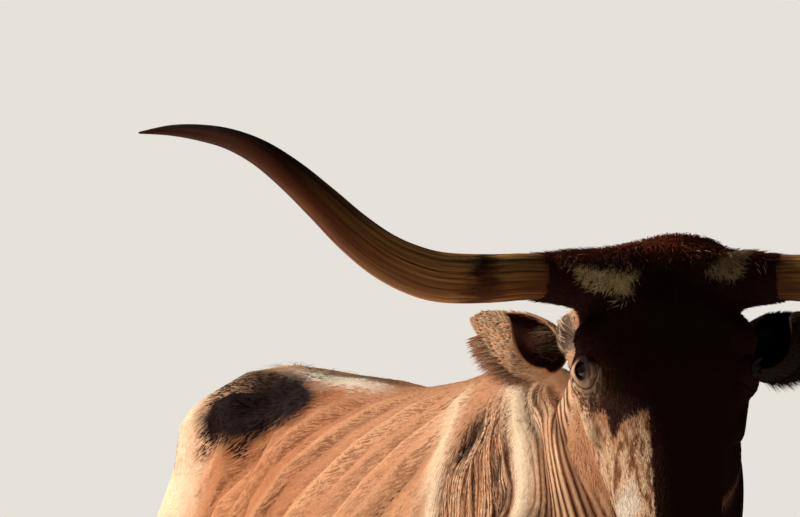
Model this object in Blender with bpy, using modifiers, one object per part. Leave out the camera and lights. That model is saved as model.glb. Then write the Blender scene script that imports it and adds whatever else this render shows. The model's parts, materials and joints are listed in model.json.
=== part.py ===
"""A standing longhorn steer at life size, parted where a person would name its parts.

Metres, +Z up. The animal faces -Y with its head turned to its right, which is -X. Its flesh is lofted and
blended whole, and thin cuts then divide it into head, neck, torso and legs.
"""

import math
import random

import bmesh
import bpy
import numpy as np
from mathutils import Matrix, Vector
from mathutils.bvhtree import BVHTree

SEAM = 0.0003
WELD = 1e-5
BODY_CELL = 0.010
HEAD_CELL = 0.005
RELAX_ROUNDS = 40  # at the body's cell; a smaller cell takes more
RELAX_SHARE = 0.6
BODY_FACES = 4800
HEAD_FACES = 2800
SIDES = {"right": -1, "left": 1}

# The middle of the whole animal on the floor, in the frame that the sections below are written in.
FLOOR_CENTRE = Vector((-0.130, -0.143, 0.0))

HEAD_PLACE = Vector((-0.150, -1.030, 1.520))
HEAD_TURN = math.radians(22)
HEAD_DROP = math.radians(62)
POLL_FRAME = Matrix.Translation(HEAD_PLACE) @ Matrix.Rotation(-HEAD_TURN, 4, "Z")
HEAD_FRAME = POLL_FRAME @ Matrix.Rotation(HEAD_DROP, 4, "X")

# The trunk from the breast to the buttocks:
# along, top, bottom, half width, height of the widest place, squareness above and below it.
TRUNK = (
    (-0.740, 1.080, 0.820, 0.095, 0.950, 2.0, 2.0),
    (-0.660, 1.240, 0.690, 0.170, 0.980, 2.0, 2.0),
    (-0.520, 1.370, 0.620, 0.200, 1.000, 1.8, 2.0),
    (-0.360, 1.432, 0.615, 0.205, 1.000, 1.7, 2.0),
    (-0.160, 1.405, 0.620, 0.245, 0.980, 1.8, 2.1),
    (0.060, 1.390, 0.610, 0.285, 0.960, 2.0, 2.2),
    (0.260, 1.413, 0.625, 0.292, 0.960, 2.1, 2.2),
    (0.400, 1.423, 0.690, 0.250, 1.000, 2.2, 2.1),
    (0.540, 1.438, 0.780, 0.218, 1.080, 2.4, 2.0),
    (0.680, 1.448, 0.860, 0.210, 1.120, 2.6, 2.0),
    (0.800, 1.425, 0.950, 0.165, 1.180, 2.5, 2.0),
    (0.880, 1.355, 1.060, 0.090, 1.220, 2.1, 2.0),
)

# The neck from inside the chest to the back of the head: centre, half width, half depth.
NECK = (
    ((0.000, -0.350, 1.080), 0.195, 0.320),
    ((0.000, -0.550, 1.110), 0.198, 0.290),
    ((0.000, -0.635, 1.140), 0.192, 0.265),
    ((-0.004, -0.710, 1.190), 0.166, 0.232),
    ((-0.045, -0.820, 1.290), 0.138, 0.185),
    ((-0.080, -0.900, 1.380), 0.118, 0.150),
    ((-0.116, -0.950, 1.450), 0.096, 0.112),
)

# The loose fold of skin under the neck: centre, half width, half depth.
DEWLAP = (
    ((-0.085, -0.860, 1.230), 0.020, 0.050),
    ((-0.050, -0.830, 1.080), 0.022, 0.075),
    ((-0.015, -0.760, 0.920), 0.026, 0.085),
    ((0.000, -0.680, 0.780), 0.040, 0.080),
    ((0.000, -0.560, 0.680), 0.045, 0.060),
)

# The head along its own length from the poll to the lips, in its own frame with the forehead up:
# along, forehead side, jaw side, half width, level of the widest place, squareness above and below it.
SKULL = (
    (0.070, -0.020, -0.090, 0.080, -0.050, 2.2, 2.0),
    (0.048, 0.020, -0.130, 0.108, -0.040, 2.4, 2.0),
    (0.010, 0.040, -0.170, 0.122, -0.030, 2.6, 2.0),
    (-0.050, 0.050, -0.215, 0.122, -0.050, 2.6, 2.0),
    (-0.110, 0.052, -0.245, 0.126, -0.050, 2.8, 2.0),
    (-0.160, 0.050, -0.250, 0.124, -0.050, 2.7, 2.0),
    (-0.220, 0.042, -0.232, 0.110, -0.080, 2.4, 2.1),
    (-0.290, 0.029, -0.200, 0.090, -0.090, 2.2, 2.1),
    (-0.370, 0.016, -0.168, 0.075, -0.085, 2.2, 2.2),
    (-0.430, 0.005, -0.155, 0.077, -0.075, 2.4, 2.2),
    (-0.480, -0.008, -0.150, 0.080, -0.070, 2.7, 2.2),
    (-0.512, -0.032, -0.132, 0.066, -0.078, 2.6, 2.2),
)

# A limb from inside the body down to its hoof: across, along, height, half width, half depth.
FORELEG = (
    (0.140, -0.500, 1.020, 0.070, 0.150),
    (0.160, -0.470, 0.890, 0.070, 0.120),
    (0.168, -0.455, 0.780, 0.061, 0.090),
    (0.167, -0.462, 0.660, 0.050, 0.064),
    (0.165, -0.474, 0.540, 0.044, 0.050),
    (0.164, -0.480, 0.460, 0.048, 0.051),
    (0.164, -0.484, 0.415, 0.048, 0.051),
    (0.164, -0.478, 0.355, 0.037, 0.041),
    (0.164, -0.474, 0.270, 0.032, 0.038),
    (0.164, -0.474, 0.190, 0.036, 0.042),
    (0.164, -0.480, 0.150, 0.043, 0.047),
    (0.164, -0.500, 0.105, 0.043, 0.044),
    (0.164, -0.520, 0.060, 0.050, 0.052),
    (0.164, -0.528, 0.035, 0.046, 0.046),
)
HIND_LEG = (
    (0.145, 0.640, 1.220, 0.085, 0.180),
    (0.170, 0.625, 1.060, 0.092, 0.200),
    (0.178, 0.585, 0.930, 0.080, 0.170),
    (0.178, 0.575, 0.830, 0.066, 0.130),
    (0.172, 0.625, 0.725, 0.055, 0.092),
    (0.168, 0.690, 0.635, 0.045, 0.068),
    (0.165, 0.745, 0.560, 0.041, 0.060),
    (0.164, 0.765, 0.500, 0.041, 0.054),
    (0.164, 0.758, 0.430, 0.035, 0.044),
    (0.164, 0.748, 0.320, 0.031, 0.038),
    (0.164, 0.742, 0.210, 0.035, 0.042),
    (0.164, 0.738, 0.160, 0.042, 0.047),
    (0.164, 0.716, 0.110, 0.042, 0.044),
    (0.164, 0.696, 0.060, 0.049, 0.052),
    (0.164, 0.688, 0.035, 0.045, 0.046),
)
LIMB_ROOT = 1.10
# How far each foot is set forward of (-) or behind (+) the even stance.
FORE_STEP = {"right": -0.020, "left": 0.035}
HIND_STEP = {"right": 0.030, "left": -0.035}
DEWCLAW = ((0.020, 0.048, 0.135), (0.013, 0.015, 0.022))

# Bones that raise the body as rounded lumps: centre, radii.
BONES = (
    ((0.186, 0.515, 1.338), (0.056, 0.072, 0.056)),  # hook bone
    ((0.096, 0.835, 1.280), (0.055, 0.060, 0.055)),  # pin bone
    ((0.178, -0.640, 1.050), (0.070, 0.090, 0.130)),  # point of the shoulder
    ((0.112, 0.660, 1.285), (0.125, 0.190, 0.120)),  # rump
)

# Single lumps under the body: centre, radii.
BRISKET = ((0, -0.650, 0.790), (0.110, 0.130, 0.145))
SHEATH = ((0, 0.180, 0.610), (0.034, 0.120, 0.040))

# Muscles that raise the body, each as a rounded tube: centre, half width, half depth.
SHOULDER_BLADE = (
    ((0.075, -0.360, 1.330), 0.040, 0.080),
    ((0.125, -0.420, 1.230), 0.055, 0.095),
    ((0.160, -0.500, 1.120), 0.062, 0.105),
    ((0.176, -0.590, 1.035), 0.060, 0.088),
)
BACK_OF_ARM = (
    ((0.130, -0.330, 1.120), 0.045, 0.110),
    ((0.165, -0.365, 1.000), 0.060, 0.125),
    ((0.175, -0.405, 0.890), 0.058, 0.100),
    ((0.170, -0.430, 0.800), 0.045, 0.062),
)
FRONT_OF_THIGH = (
    ((0.170, 0.510, 1.260), 0.058, 0.080),
    ((0.198, 0.490, 1.120), 0.064, 0.100),
    ((0.195, 0.465, 0.980), 0.062, 0.095),
    ((0.180, 0.470, 0.860), 0.055, 0.070),
)
BACK_OF_THIGH = (
    ((0.115, 0.785, 1.240), 0.078, 0.085),
    ((0.168, 0.740, 1.120), 0.092, 0.120),
    ((0.180, 0.725, 0.990), 0.086, 0.125),
    ((0.175, 0.715, 0.880), 0.066, 0.105),
    ((0.170, 0.730, 0.780), 0.044, 0.070),
    ((0.166, 0.775, 0.680), 0.026, 0.036),
    ((0.164, 0.806, 0.605), 0.022, 0.026),
    ((0.164, 0.798, 0.550), 0.022, 0.028),
)
MUSCLES = (SHOULDER_BLADE, BACK_OF_ARM, FRONT_OF_THIGH, BACK_OF_THIGH)

# Hollows of a lean animal, where the hide sinks between its bones: centre, radii, depth.
HOLLOWS = (
    ((0.190, 0.395, 1.270), (0.100, 0.095, 0.120), 0.020),  # before the hook bone
    ((0.155, -0.410, 1.285), (0.070, 0.075, 0.080), 0.014),  # before the shoulder blade
    ((0.215, -0.230, 1.180), (0.080, 0.070, 0.200), 0.008),  # behind the shoulder blade
)

# Bones and muscles that raise the head, in its own frame: centre, radii.
HEAD_FORMS = (
    ((0.104, -0.112, 0.006), (0.036, 0.034, 0.032)),  # brow over the eye
    ((0.113, -0.154, -0.024), (0.031, 0.044, 0.032)),  # bone round the eye
    ((0.076, -0.140, -0.150), (0.034, 0.110, 0.085)),  # cheek
    ((0.060, -0.070, -0.195), (0.032, 0.065, 0.050)),  # corner of the jaw
    ((0.116, -0.045, -0.095), (0.036, 0.040, 0.042)),  # root of the ear
    ((0.050, -0.480, -0.042), (0.034, 0.038, 0.036)),  # wing of the nostril
    ((0.044, -0.440, -0.088), (0.036, 0.070, 0.032)),  # upper lip
    ((0.024, -0.452, -0.146), (0.034, 0.050, 0.020)),  # chin
)
POLL_CREST = (
    ((0.000, 0.010, 0.000), (0.125, 0.046, 0.052)),
    ((0.030, 0.034, 0.004), (0.080, 0.034, 0.040)),
)
CHEEK_BONE = (
    ((0.102, -0.235, -0.060), 0.018, 0.020),
    ((0.114, -0.160, -0.066), 0.020, 0.022),
    ((0.120, -0.060, -0.085), 0.020, 0.022),
)
HORN_BOSS = (
    ((0.050, 0.000, -0.006), 0.066, 0.054),
    ((0.110, 0.000, -0.003), 0.054, 0.047),
    ((0.160, 0.002, 0.000), 0.043, 0.041),
    ((0.186, 0.005, 0.001), 0.040, 0.039),
)

# The horn from inside the head to its tip, level with the poll: out, forward, up, radius.
HORN_BASE = 0.170
HORN = (
    (0.140, 0.001, 0.000, 0.0340),
    (0.200, 0.006, 0.001, 0.0350),
    (0.265, 0.022, -0.003, 0.0365),
    (0.330, 0.045, -0.003, 0.0375),
    (0.375, 0.058, 0.007, 0.0365),
    (0.420, 0.066, 0.028, 0.0340),
    (0.465, 0.066, 0.062, 0.0310),
    (0.510, 0.058, 0.105, 0.0275),
    (0.555, 0.042, 0.147, 0.0240),
    (0.600, 0.022, 0.182, 0.0200),
    (0.645, 0.000, 0.205, 0.0160),
    (0.690, -0.022, 0.217, 0.0125),
    (0.735, -0.040, 0.222, 0.0080),
    (0.782, -0.054, 0.2195, 0.0015),
)

# The eye in the head's frame. It looks out, a little forward and a little down the face.
EYE_PLACE = Vector((0.1165, -0.158, -0.008))
EYE_LOOK = Vector((0.62, -0.28, 0.735))
EYE_RADIUS = 0.021
LID_THICKNESS = 0.0042
EYE_OPENING = (0.0120, 0.0088)
EYE_OPENING_REACH = (0.004, 0.060)

NOSTRIL = ((0.045, -0.510, -0.052), (0.012, 0.026, 0.010))
NOSTRIL_TURN = math.radians(-28)
NOSTRIL_ROLL = math.radians(12)
MOUTH_LINE = (
    (0.074, -0.385, -0.118),
    (0.071, -0.430, -0.114),
    (0.062, -0.480, -0.108),
    (0.036, -0.510, -0.106),
)
MOUTH_FRONT = (0.000, -0.517, -0.108)
MOUTH_DEPTH = 0.008
MOUTH_GAP = 0.0032

# The flat ends that the horn and the ear meet, each cut by a box between two corners.
HORN_END = ((HORN_BASE, -0.07, -0.06), (0.30, 0.07, 0.07))
EAR_END = ((0, -0.055, -0.055), (0.12, 0.055, 0.055))

# The tuft on the poll: along the head, reach to the side, how many locks, their length, lift and fall.
POLL_LOCKS = (
    (-0.030, 0.066, 5, 0.052, 0.003, 1.0),
    (-0.002, 0.088, 7, 0.054, 0.005, 1.0),
    (0.026, 0.104, 8, 0.050, 0.008, 1.0),
    (0.052, 0.106, 8, 0.034, 0.011, -0.5),
)
LOCK_START = 0.06  # above the head, from where a lock's root is dropped onto it
LOCK_SPREAD = 1.1
LOCK_WIDTH = 0.0145
LOCK_THICKNESS = 0.0038

# The ear in a frame of its own: X along it, Y towards its upper edge and Z out of its cup.
EAR_BASE = Vector((0.146, 0.070, -0.110))
EAR_AXIS = Vector((0.69, 0.65, 0.27))
EAR_OPENS = Vector((0.36, -0.64, 0.60))
EAR_PLUG = (0.032, 0.033, 0.033)
EAR_WALL = 0.005
FRINGE_COUNT = 8
FRINGE_LENGTH = 0.026
FRINGE_PLACE = (-0.52, -0.40)
FRINGE_WIDTH = 0.0110
FRINGE_THICKNESS = 0.0022
FRINGE_SINK = 0.008
FRINGE_BOW = Vector((0.008, 0, -0.004))
EAR_TUFT_LENGTH = 0.052
EAR_TUFT_WIDTH = 0.0070
EAR_TUFT_THICKNESS = 0.0030
# Along, shift to its upper edge, radius of the cup, degrees of its wrap to the upper and lower edge, keel.
EAR = (
    (0.004, 0.000, 0.030, 150, 85, -0.032),
    (0.030, -0.004, 0.044, 135, 125, -0.050),
    (0.060, -0.006, 0.050, 125, 170, -0.056),
    (0.090, -0.001, 0.044, 118, 196, -0.048),
    (0.118, 0.004, 0.033, 112, 204, -0.034),
    (0.146, 0.010, 0.022, 100, 188, -0.020),
    (0.172, 0.015, 0.011, 80, 120, -0.006),
)

TAIL = (
    ((0.000, 0.800, 1.385), 0.034, 0.034),
    ((0.000, 0.880, 1.350), 0.029, 0.030),
    ((0.000, 0.945, 1.270), 0.026, 0.027),
    ((0.000, 0.975, 1.150), 0.023, 0.024),
    ((0.000, 0.982, 1.000), 0.019, 0.020),
    ((0.000, 0.978, 0.850), 0.016, 0.017),
    ((0.000, 0.972, 0.700), 0.014, 0.015),
)
TAIL_CUT = Vector((0.0, 0.958, 1.230))
TAIL_RUNS = Vector((0.0, 0.24, -0.97))
SWITCH_TOP = 0.700
SWITCH_CORE = (
    ((0.000, 0.972, 0.770), 0.012, 0.013),
    ((0.000, 0.972, 0.660), 0.020, 0.021),
    ((0.000, 0.972, 0.560), 0.022, 0.024),
    ((0.000, 0.972, 0.510), 0.012, 0.013),
)
# The locks of the switch in tiers: where they start and end, how many, how far out they swing.
SWITCH_TIERS = (
    (0.675, 0.440, 6, 0.050),
    (0.630, 0.400, 6, 0.046),
    (0.585, 0.360, 5, 0.036),
    (0.545, 0.330, 3, 0.022),
)
SWITCH_LOCK_WIDTH = 0.0150
SWITCH_LOCK_THICKNESS = 0.0060

# Where the cuts pass, each as a point and the way out of the part that it bounds. The head's are level with
# the poll: one passes behind the poll and the jaw, and one between the throat and the dewlap.
HEAD_CUTS = [
    (Vector((0, 0.100, 0.060)), Vector((0, 0.933, 0.359))),
    (Vector((0, 0.235, -0.235)), Vector((0, 0.750, -0.660))),
]
NECK_CUT = (Vector((0, -0.520, 1.420)), Vector((0, 0.898, -0.441)))
# For each kind of leg: a point of the upper cut, its slope, inner side, front, back, the joint's height.
LEG_CUTS = {
    "foreleg": (Vector((0.170, 0, 0.800)), Vector((-0.45, 0, 0.89)), 0.100, -0.640, -0.330, 0.425),
    "hind_leg": (Vector((0.170, 0, 0.950)), Vector((-0.35, 0, 0.94)), 0.056, 0.330, 1.000, 0.515),
}
CORONET = (0.062, Vector((0, 0.34, 0.94)))
CLAW = (  # height, toe, heel, half width
    (0.000, 0.074, 0.052, 0.0225),
    (0.012, 0.072, 0.053, 0.0230),
    (0.045, 0.055, 0.050, 0.0225),
    (0.095, 0.036, 0.040, 0.0205),
)
CLAW_PLACE = 0.0262

# The colour and roughness of each material.
MATERIALS = {
    "coat": ((0.46, 0.17, 0.07), 0.85),
    "horn": ((0.16, 0.10, 0.045), 0.45),
    "eye": ((0.015, 0.009, 0.006), 0.15),
    "hoof": ((0.05, 0.038, 0.03), 0.45),
    "switch": ((0.12, 0.05, 0.03), 0.85),
}


def spline(rows, steps):
    """The rows with `steps` rows for each gap, on a Catmull-Rom curve through every column."""
    columns = [list(row) for row in rows]
    columns = [columns[0], *columns, columns[-1]]
    smooth = []
    for i in range(1, len(columns) - 2):
        for k in range(steps):
            t = k / steps
            smooth.append(
                [
                    0.5
                    * (
                        2 * b
                        + (c - a) * t
                        + (2 * a - 5 * b + 4 * c - d) * t * t
                        + (3 * b - a - 3 * c + d) * t**3
                    )
                    for a, b, c, d in zip(*columns[i - 1 : i + 3])
                ]
            )
    smooth.append(columns[-2])
    return smooth


def mesh_object(name, shape):
    """A mesh object made from a bmesh, with its normals pointing outwards."""
    bmesh.ops.recalc_face_normals(shape, faces=shape.faces)
    mesh = bpy.data.meshes.new(name)
    shape.to_mesh(mesh)
    shape.free()
    made = bpy.data.objects.new(name, mesh)
    bpy.context.scene.collection.objects.link(made)
    return made


def loft(name, rings, frame=Matrix.Identity(4)):
    """A closed skin through rings of points that have the same count."""
    shape = bmesh.new()
    loops = [[shape.verts.new(frame @ Vector(point)) for point in ring] for ring in rings]
    for one, two in zip(loops, loops[1:]):
        for i, corner in enumerate(one):
            j = (i + 1) % len(one)
            shape.faces.new((corner, one[j], two[j], two[i]))
    shape.faces.new(reversed(loops[0]))
    shape.faces.new(loops[-1])
    return mesh_object(name, shape)


def egg_ring(row, count):
    """A cross-section in a plane of constant Y, with its own roundness above and below its widest level."""
    along, top, bottom, half_width, widest, above, below = row
    ring = []
    for i in range(count):
        angle = 2 * math.pi * i / count
        across, up = math.cos(angle), math.sin(angle)
        power = 2 / (above if up > 0 else below)
        reach = top - widest if up > 0 else widest - bottom
        ring.append(
            (
                math.copysign(half_width * abs(across) ** power, across),
                along,
                widest + math.copysign(reach * abs(up) ** power, up),
            )
        )
    return ring


def barrel(name, rows, frame=Matrix.Identity(4), steps=4, count=28):
    return loft(name, [egg_ring(row, count) for row in spline(rows, steps)], frame)


def round_end(row, toward):
    """Smaller copies of an end section, each further out, that close a tube with a dome."""
    centre, out = Vector(row[:3]), Vector(row[:3]) - Vector(toward[:3])
    reach = out.normalized() * min(row[3], row[4])
    return [
        (*(centre + reach * math.sin(angle)), row[3] * math.cos(angle), row[4] * math.cos(angle))
        for angle in (math.radians(35), math.radians(62), math.radians(80))
    ]


def tube(name, stations, frame=Matrix.Identity(4), steps=3, count=18, side=Vector((1, 0, 0))):
    """A limb of oval section along a curve. A station is a centre, half width along `side`, half depth."""
    rows = spline([(*centre, width, depth) for centre, width, depth in stations], steps)
    rows = [*reversed(round_end(rows[0], rows[1])), *rows, *round_end(rows[-1], rows[-2])]
    centres = [Vector(row[:3]) for row in rows]
    rings = []
    for i, row in enumerate(rows):
        before, after = centres[max(i - 1, 0)], centres[min(i + 1, len(rows) - 1)]
        ahead = (after - before).normalized()
        across = (side - ahead * side.dot(ahead)).normalized()
        deep = ahead.cross(across)
        rings.append(
            [
                centres[i] + across * (row[3] * math.cos(a)) + deep * (row[4] * math.sin(a))
                for a in (2 * math.pi * k / count for k in range(count))
            ]
        )
    return loft(name, rings, frame)


def ball(name, centre, radii, frame=Matrix.Identity(4), rings=12):
    """An ellipsoid along the axes of a frame."""
    shape = bmesh.new()
    bmesh.ops.create_uvsphere(shape, u_segments=2 * rings, v_segments=rings, radius=1)
    place = frame @ Matrix.Translation(centre) @ Matrix.Diagonal((*radii, 1))
    bmesh.ops.transform(shape, matrix=place, verts=shape.verts)
    return mesh_object(name, shape)


def block(name, planes, grow=0.0, frame=Matrix.Identity(4)):
    """The convex solid inside planes. Each is a point and an outward normal, and moves out by `grow`."""
    shape = bmesh.new()
    bmesh.ops.create_cube(shape, size=8)
    for point, normal in planes:
        out = Vector(normal).normalized()
        found = bmesh.ops.bisect_plane(
            shape,
            geom=shape.verts[:] + shape.edges[:] + shape.faces[:],
            plane_co=Vector(point) + out * grow,
            plane_no=out,
            clear_outer=True,
        )
        rim = [part for part in found["geom_cut"] if isinstance(part, bmesh.types.BMEdge)]
        bmesh.ops.holes_fill(shape, edges=rim)
    bmesh.ops.transform(shape, matrix=frame, verts=shape.verts)
    return mesh_object(name, shape)


def box_planes(low, high):
    """The six planes of a box between two corners."""
    planes = []
    for axis in range(3):
        for corner, sign in ((low, -1), (high, 1)):
            normal = Vector((0, 0, 0))
            normal[axis] = sign
            planes.append((Vector(corner), normal))
    return planes


def evaluated(made):
    """The object with its modifiers applied."""
    graph = bpy.context.evaluated_depsgraph_get()
    mesh = bpy.data.meshes.new_from_object(made.evaluated_get(graph))
    made.modifiers.clear()
    old = made.data
    made.data = mesh
    bpy.data.meshes.remove(old)
    return made


def largest(made):
    """The object without the scraps and sealed hollows that a Boolean can leave."""
    shape = bmesh.new()
    shape.from_mesh(made.data)
    bmesh.ops.remove_doubles(shape, verts=shape.verts, dist=WELD)
    waiting, groups = set(shape.faces), []
    while waiting:
        group = {waiting.pop()}
        edge_of_group = list(group)
        while edge_of_group:
            for edge in edge_of_group.pop().edges:
                for face in edge.link_faces:
                    if face in waiting:
                        waiting.remove(face)
                        group.add(face)
                        edge_of_group.append(face)
        groups.append(group)
    groups.sort(key=lambda group: sum(face.calc_area() for face in group))
    for group in groups[:-1]:
        bmesh.ops.delete(shape, geom=list(group), context="FACES")
    shape.to_mesh(made.data)
    shape.free()
    return made


def carve(made, cutter, operation="DIFFERENCE"):
    """The object cut by, or kept inside, another one, which is then removed."""
    step = made.modifiers.new("carve", "BOOLEAN")
    step.operation = operation
    step.object = cutter
    evaluated(made)
    bpy.data.objects.remove(cutter)
    return largest(made)


def thinned(made, faces):
    """The object with its smallest and flattest triangles merged away until about that many are left."""
    made.data.calc_loop_triangles()
    step = made.modifiers.new("thin", "DECIMATE")
    step.ratio = min(1.0, faces / len(made.data.loop_triangles))
    return evaluated(made)


def fused(made, pieces):
    """The object and the pieces rooted in it as one closed body."""
    group = bpy.data.collections.new("pieces")
    for piece in pieces:
        group.objects.link(piece)
    step = made.modifiers.new("fuse", "BOOLEAN")
    step.operation = "UNION"
    step.operand_type = "COLLECTION"
    step.collection = group
    step.solver = "MANIFOLD"
    evaluated(made)
    for piece in pieces:
        bpy.data.objects.remove(piece)
    bpy.data.collections.remove(group)
    return largest(made)


def part_off(whole, name, planes):
    """The part of the whole that lies inside the planes, as an object of its own, behind a thin cut."""
    part = bpy.data.objects.new(name, whole.data.copy())
    bpy.context.scene.collection.objects.link(part)
    carve(part, block("keep", planes), "INTERSECT")
    carve(whole, block("drop", planes, SEAM))
    return part


def join(name, shapes):
    """The shapes as one object, whose bodies may overlap."""
    whole = bmesh.new()
    for shape in shapes:
        whole.from_mesh(shape.data)
        bpy.data.objects.remove(shape)
    return mesh_object(name, whole)


def relax(made, rounds, strength):
    """Evens out the skin, point by point towards its neighbours. `strength` gives 0 to 1 for each point."""
    mesh = made.data
    points = np.empty(3 * len(mesh.vertices))
    mesh.vertices.foreach_get("co", points)
    points = points.reshape(-1, 3)
    ends = np.empty(2 * len(mesh.edges), np.int64)
    mesh.edges.foreach_get("vertices", ends)
    one, two = ends[0::2], ends[1::2]
    count = np.bincount(ends, minlength=len(points))[:, None]
    share = RELAX_SHARE * strength(points)[:, None]
    for _ in range(rounds):
        total = np.zeros_like(points)
        for axis in range(3):
            total[:, axis] = np.bincount(one, points[two, axis], len(points))
            total[:, axis] += np.bincount(two, points[one, axis], len(points))
        points += share * (total / count - points)
    mesh.vertices.foreach_set("co", points.ravel())


def softness(points):
    """Flesh on the trunk runs together more than it does over the bones of the legs and the head."""
    limb = np.clip((points[:, 2] - 0.60) / 0.25, 0, 1)
    head = np.linalg.norm(points - np.array(HEAD_PLACE), axis=1)
    return np.minimum(0.10 + 0.90 * limb, np.clip((head - 0.30) / 0.25, 0.05, 1))


def sunk(made):
    """The flesh with the hollows of a lean animal pressed into both of its sides."""
    for point in made.data.vertices:
        for centre, radii, depth in HOLLOWS:
            away = Vector((abs(point.co.x), point.co.y, point.co.z)) - Vector(centre)
            reach = Vector(part / radius for part, radius in zip(away, radii)).length
            if reach < 1:
                point.co.x -= math.copysign(depth * (1 - reach * reach * (3 - 2 * reach)), point.co.x)


def blended(name, shapes, cell, faces):
    """The shapes fused into one smooth skin, whose softness doesn't depend on the cell."""
    made = join(name, shapes)
    remesh = made.modifiers.new("fuse", "REMESH")
    remesh.mode = "VOXEL"
    remesh.voxel_size = cell
    evaluated(made)
    relax(made, round(RELAX_ROUNDS * (BODY_CELL / cell) ** 2), softness)
    sunk(made)
    return largest(thinned(made, faces))


def mirrored(centre, side):
    return (centre[0] * side, centre[1], centre[2])


def stepped(centre, step):
    """A point of a limb, moved along with its foot. The move fades out towards the body."""
    x, y, z = centre
    return (x, y + step * min(1.0, 1.4 * max(0.0, 1 - z / LIMB_ROOT)), z)


def leg(name, rows, side, step):
    return tube(name, [(stepped((side * x, y, z), step), w, d) for x, y, z, w, d in rows])


def foot_place(rows, side, step):
    """The middle of a foot on the floor."""
    x, y, z = stepped((side * rows[-1][0], rows[-1][1], 0.0), step)
    return Vector((x, y, 0.0))


def body_flesh():
    shapes = [barrel("trunk", TRUNK), tube("neck_core", NECK), tube("dewlap", DEWLAP)]
    shapes.append(tube("tail_root", TAIL[:4]))
    shapes.append(ball("brisket", *BRISKET))
    shapes.append(ball("sheath", *SHEATH))
    for word, side in SIDES.items():
        for kind, rows, step in (("foreleg", FORELEG, FORE_STEP), ("hind_leg", HIND_LEG, HIND_STEP)):
            shapes.append(leg(kind, rows, side, step[word]))
            heel = foot_place(rows, side, step[word])
            for inner in (-1, 1):
                centre, radii = DEWCLAW
                shapes.append(ball("dewclaw", heel + Vector(mirrored(centre, inner)), radii))
        for centre, radii in BONES:
            shapes.append(ball("bone", mirrored(centre, side), radii))
        for muscle in MUSCLES:
            shift = HIND_STEP[word] if muscle is BACK_OF_THIGH else 0
            stations = [(stepped(mirrored(c, side), shift), w, d) for c, w, d in muscle]
            shapes.append(tube("muscle", stations))
    return shapes


def head_flesh():
    shapes = [barrel("skull", SKULL, HEAD_FRAME, steps=3)]
    shapes += [ball("poll_crest", centre, radii, frame=HEAD_FRAME) for centre, radii in POLL_CREST]
    for side in SIDES.values():
        for centre, radii in HEAD_FORMS:
            shapes.append(ball("head_form", mirrored(centre, side), radii, frame=HEAD_FRAME))
        bone = [(mirrored(c, side), w, d) for c, w, d in CHEEK_BONE]
        shapes.append(tube("cheek_bone", bone, HEAD_FRAME))
        boss = [(mirrored(c, side), w, d) for c, w, d in HORN_BOSS]
        shapes.append(tube("horn_boss", boss, POLL_FRAME, side=Vector((0, 1, 0))))
    return shapes


def pose(frame, side, place, ahead, up):
    """A frame at `place` with X ahead and Z near `up`, mirrored for the animal's right side."""
    x = ahead.normalized()
    z = (up - x * up.dot(x)).normalized()
    turn = Matrix((x, z.cross(x), z)).transposed().to_4x4()
    return frame @ Matrix.Diagonal((side, 1, 1, 1)) @ Matrix.Translation(place) @ turn


def ear_frame(side):
    return pose(POLL_FRAME, side, EAR_BASE, EAR_AXIS, EAR_OPENS)


def eye_frame(side):
    """X runs down the face along the lids, and Z is the way that the eye looks."""
    z = EYE_LOOK.normalized()
    down = Vector((0.0, -1.0, -0.35))
    return pose(HEAD_FRAME, side, EYE_PLACE, down - z * down.dot(z), z)


def strand(name, spine, normals, width, thick, frame=Matrix.Identity(4)):
    """A flat, tapered lock of hair along a spine. Its broad side faces along the normals."""
    rings = []
    for i, point in enumerate(spine):
        ahead = (spine[min(i + 1, len(spine) - 1)] - spine[max(i - 1, 0)]).normalized()
        across = ahead.cross(normals[i]).normalized()
        up = across.cross(ahead)
        t = i / (len(spine) - 1)
        wide = width * (0.7 + 1.2 * t - 1.8 * t * t)
        deep = thick * (1.0 - 0.8 * t)
        rings.append([point + across * wide, point + up * deep, point - across * wide, point - up * deep])
    return loft(name, rings, frame)


def lock_on(surface, root, lie, length, width, thick, lift, curl=0.0, points=5, sink=0.010):
    """A lock that leaves the surface at a sunk root, follows its lie and lifts at the tip."""
    place, normal, _, _ = surface.find_nearest(root)
    way = lie.copy()
    spine, normals = [], []
    for k in range(points):
        t = k / (points - 1)
        way = (way - normal * way.dot(normal)).normalized()
        height = -sink + (sink + lift) * (1 - (1 - t) ** 2)
        spine.append(place + normal * height)
        normals.append(normal.copy())
        way = Matrix.Rotation(curl, 3, normal) @ way
        place, normal, _, _ = surface.find_nearest(place + way * (length / (points - 1)))
    return strand("lock", spine, normals, width, thick)


def poll_locks(head):
    """Locks that fall over the forehead, and shorter ones that stand along the crest."""
    graph = bpy.context.evaluated_depsgraph_get()
    surface = BVHTree.FromObject(head, graph)
    draw = random.Random(11)
    across = HEAD_FRAME.to_3x3() @ Vector((1, 0, 0))
    ahead = HEAD_FRAME.to_3x3() @ Vector((0, -1, 0))
    locks = []
    for along, reach, count, length, lift, fall in POLL_LOCKS:
        for k in range(count):
            share = 2 * (k + 0.5 + draw.uniform(-0.2, 0.2)) / count - 1
            root = HEAD_FRAME @ Vector((share * reach, along, LOCK_START))
            lie = ahead * fall + across * (LOCK_SPREAD * share + draw.uniform(-0.25, 0.25))
            locks.append(
                lock_on(
                    surface,
                    root,
                    lie,
                    length * draw.uniform(0.85, 1.15),
                    LOCK_WIDTH * draw.uniform(0.85, 1.15),
                    LOCK_THICKNESS,
                    lift * draw.uniform(0.7, 1.2),
                    draw.uniform(-0.12, 0.12),
                )
            )
    return locks


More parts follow.
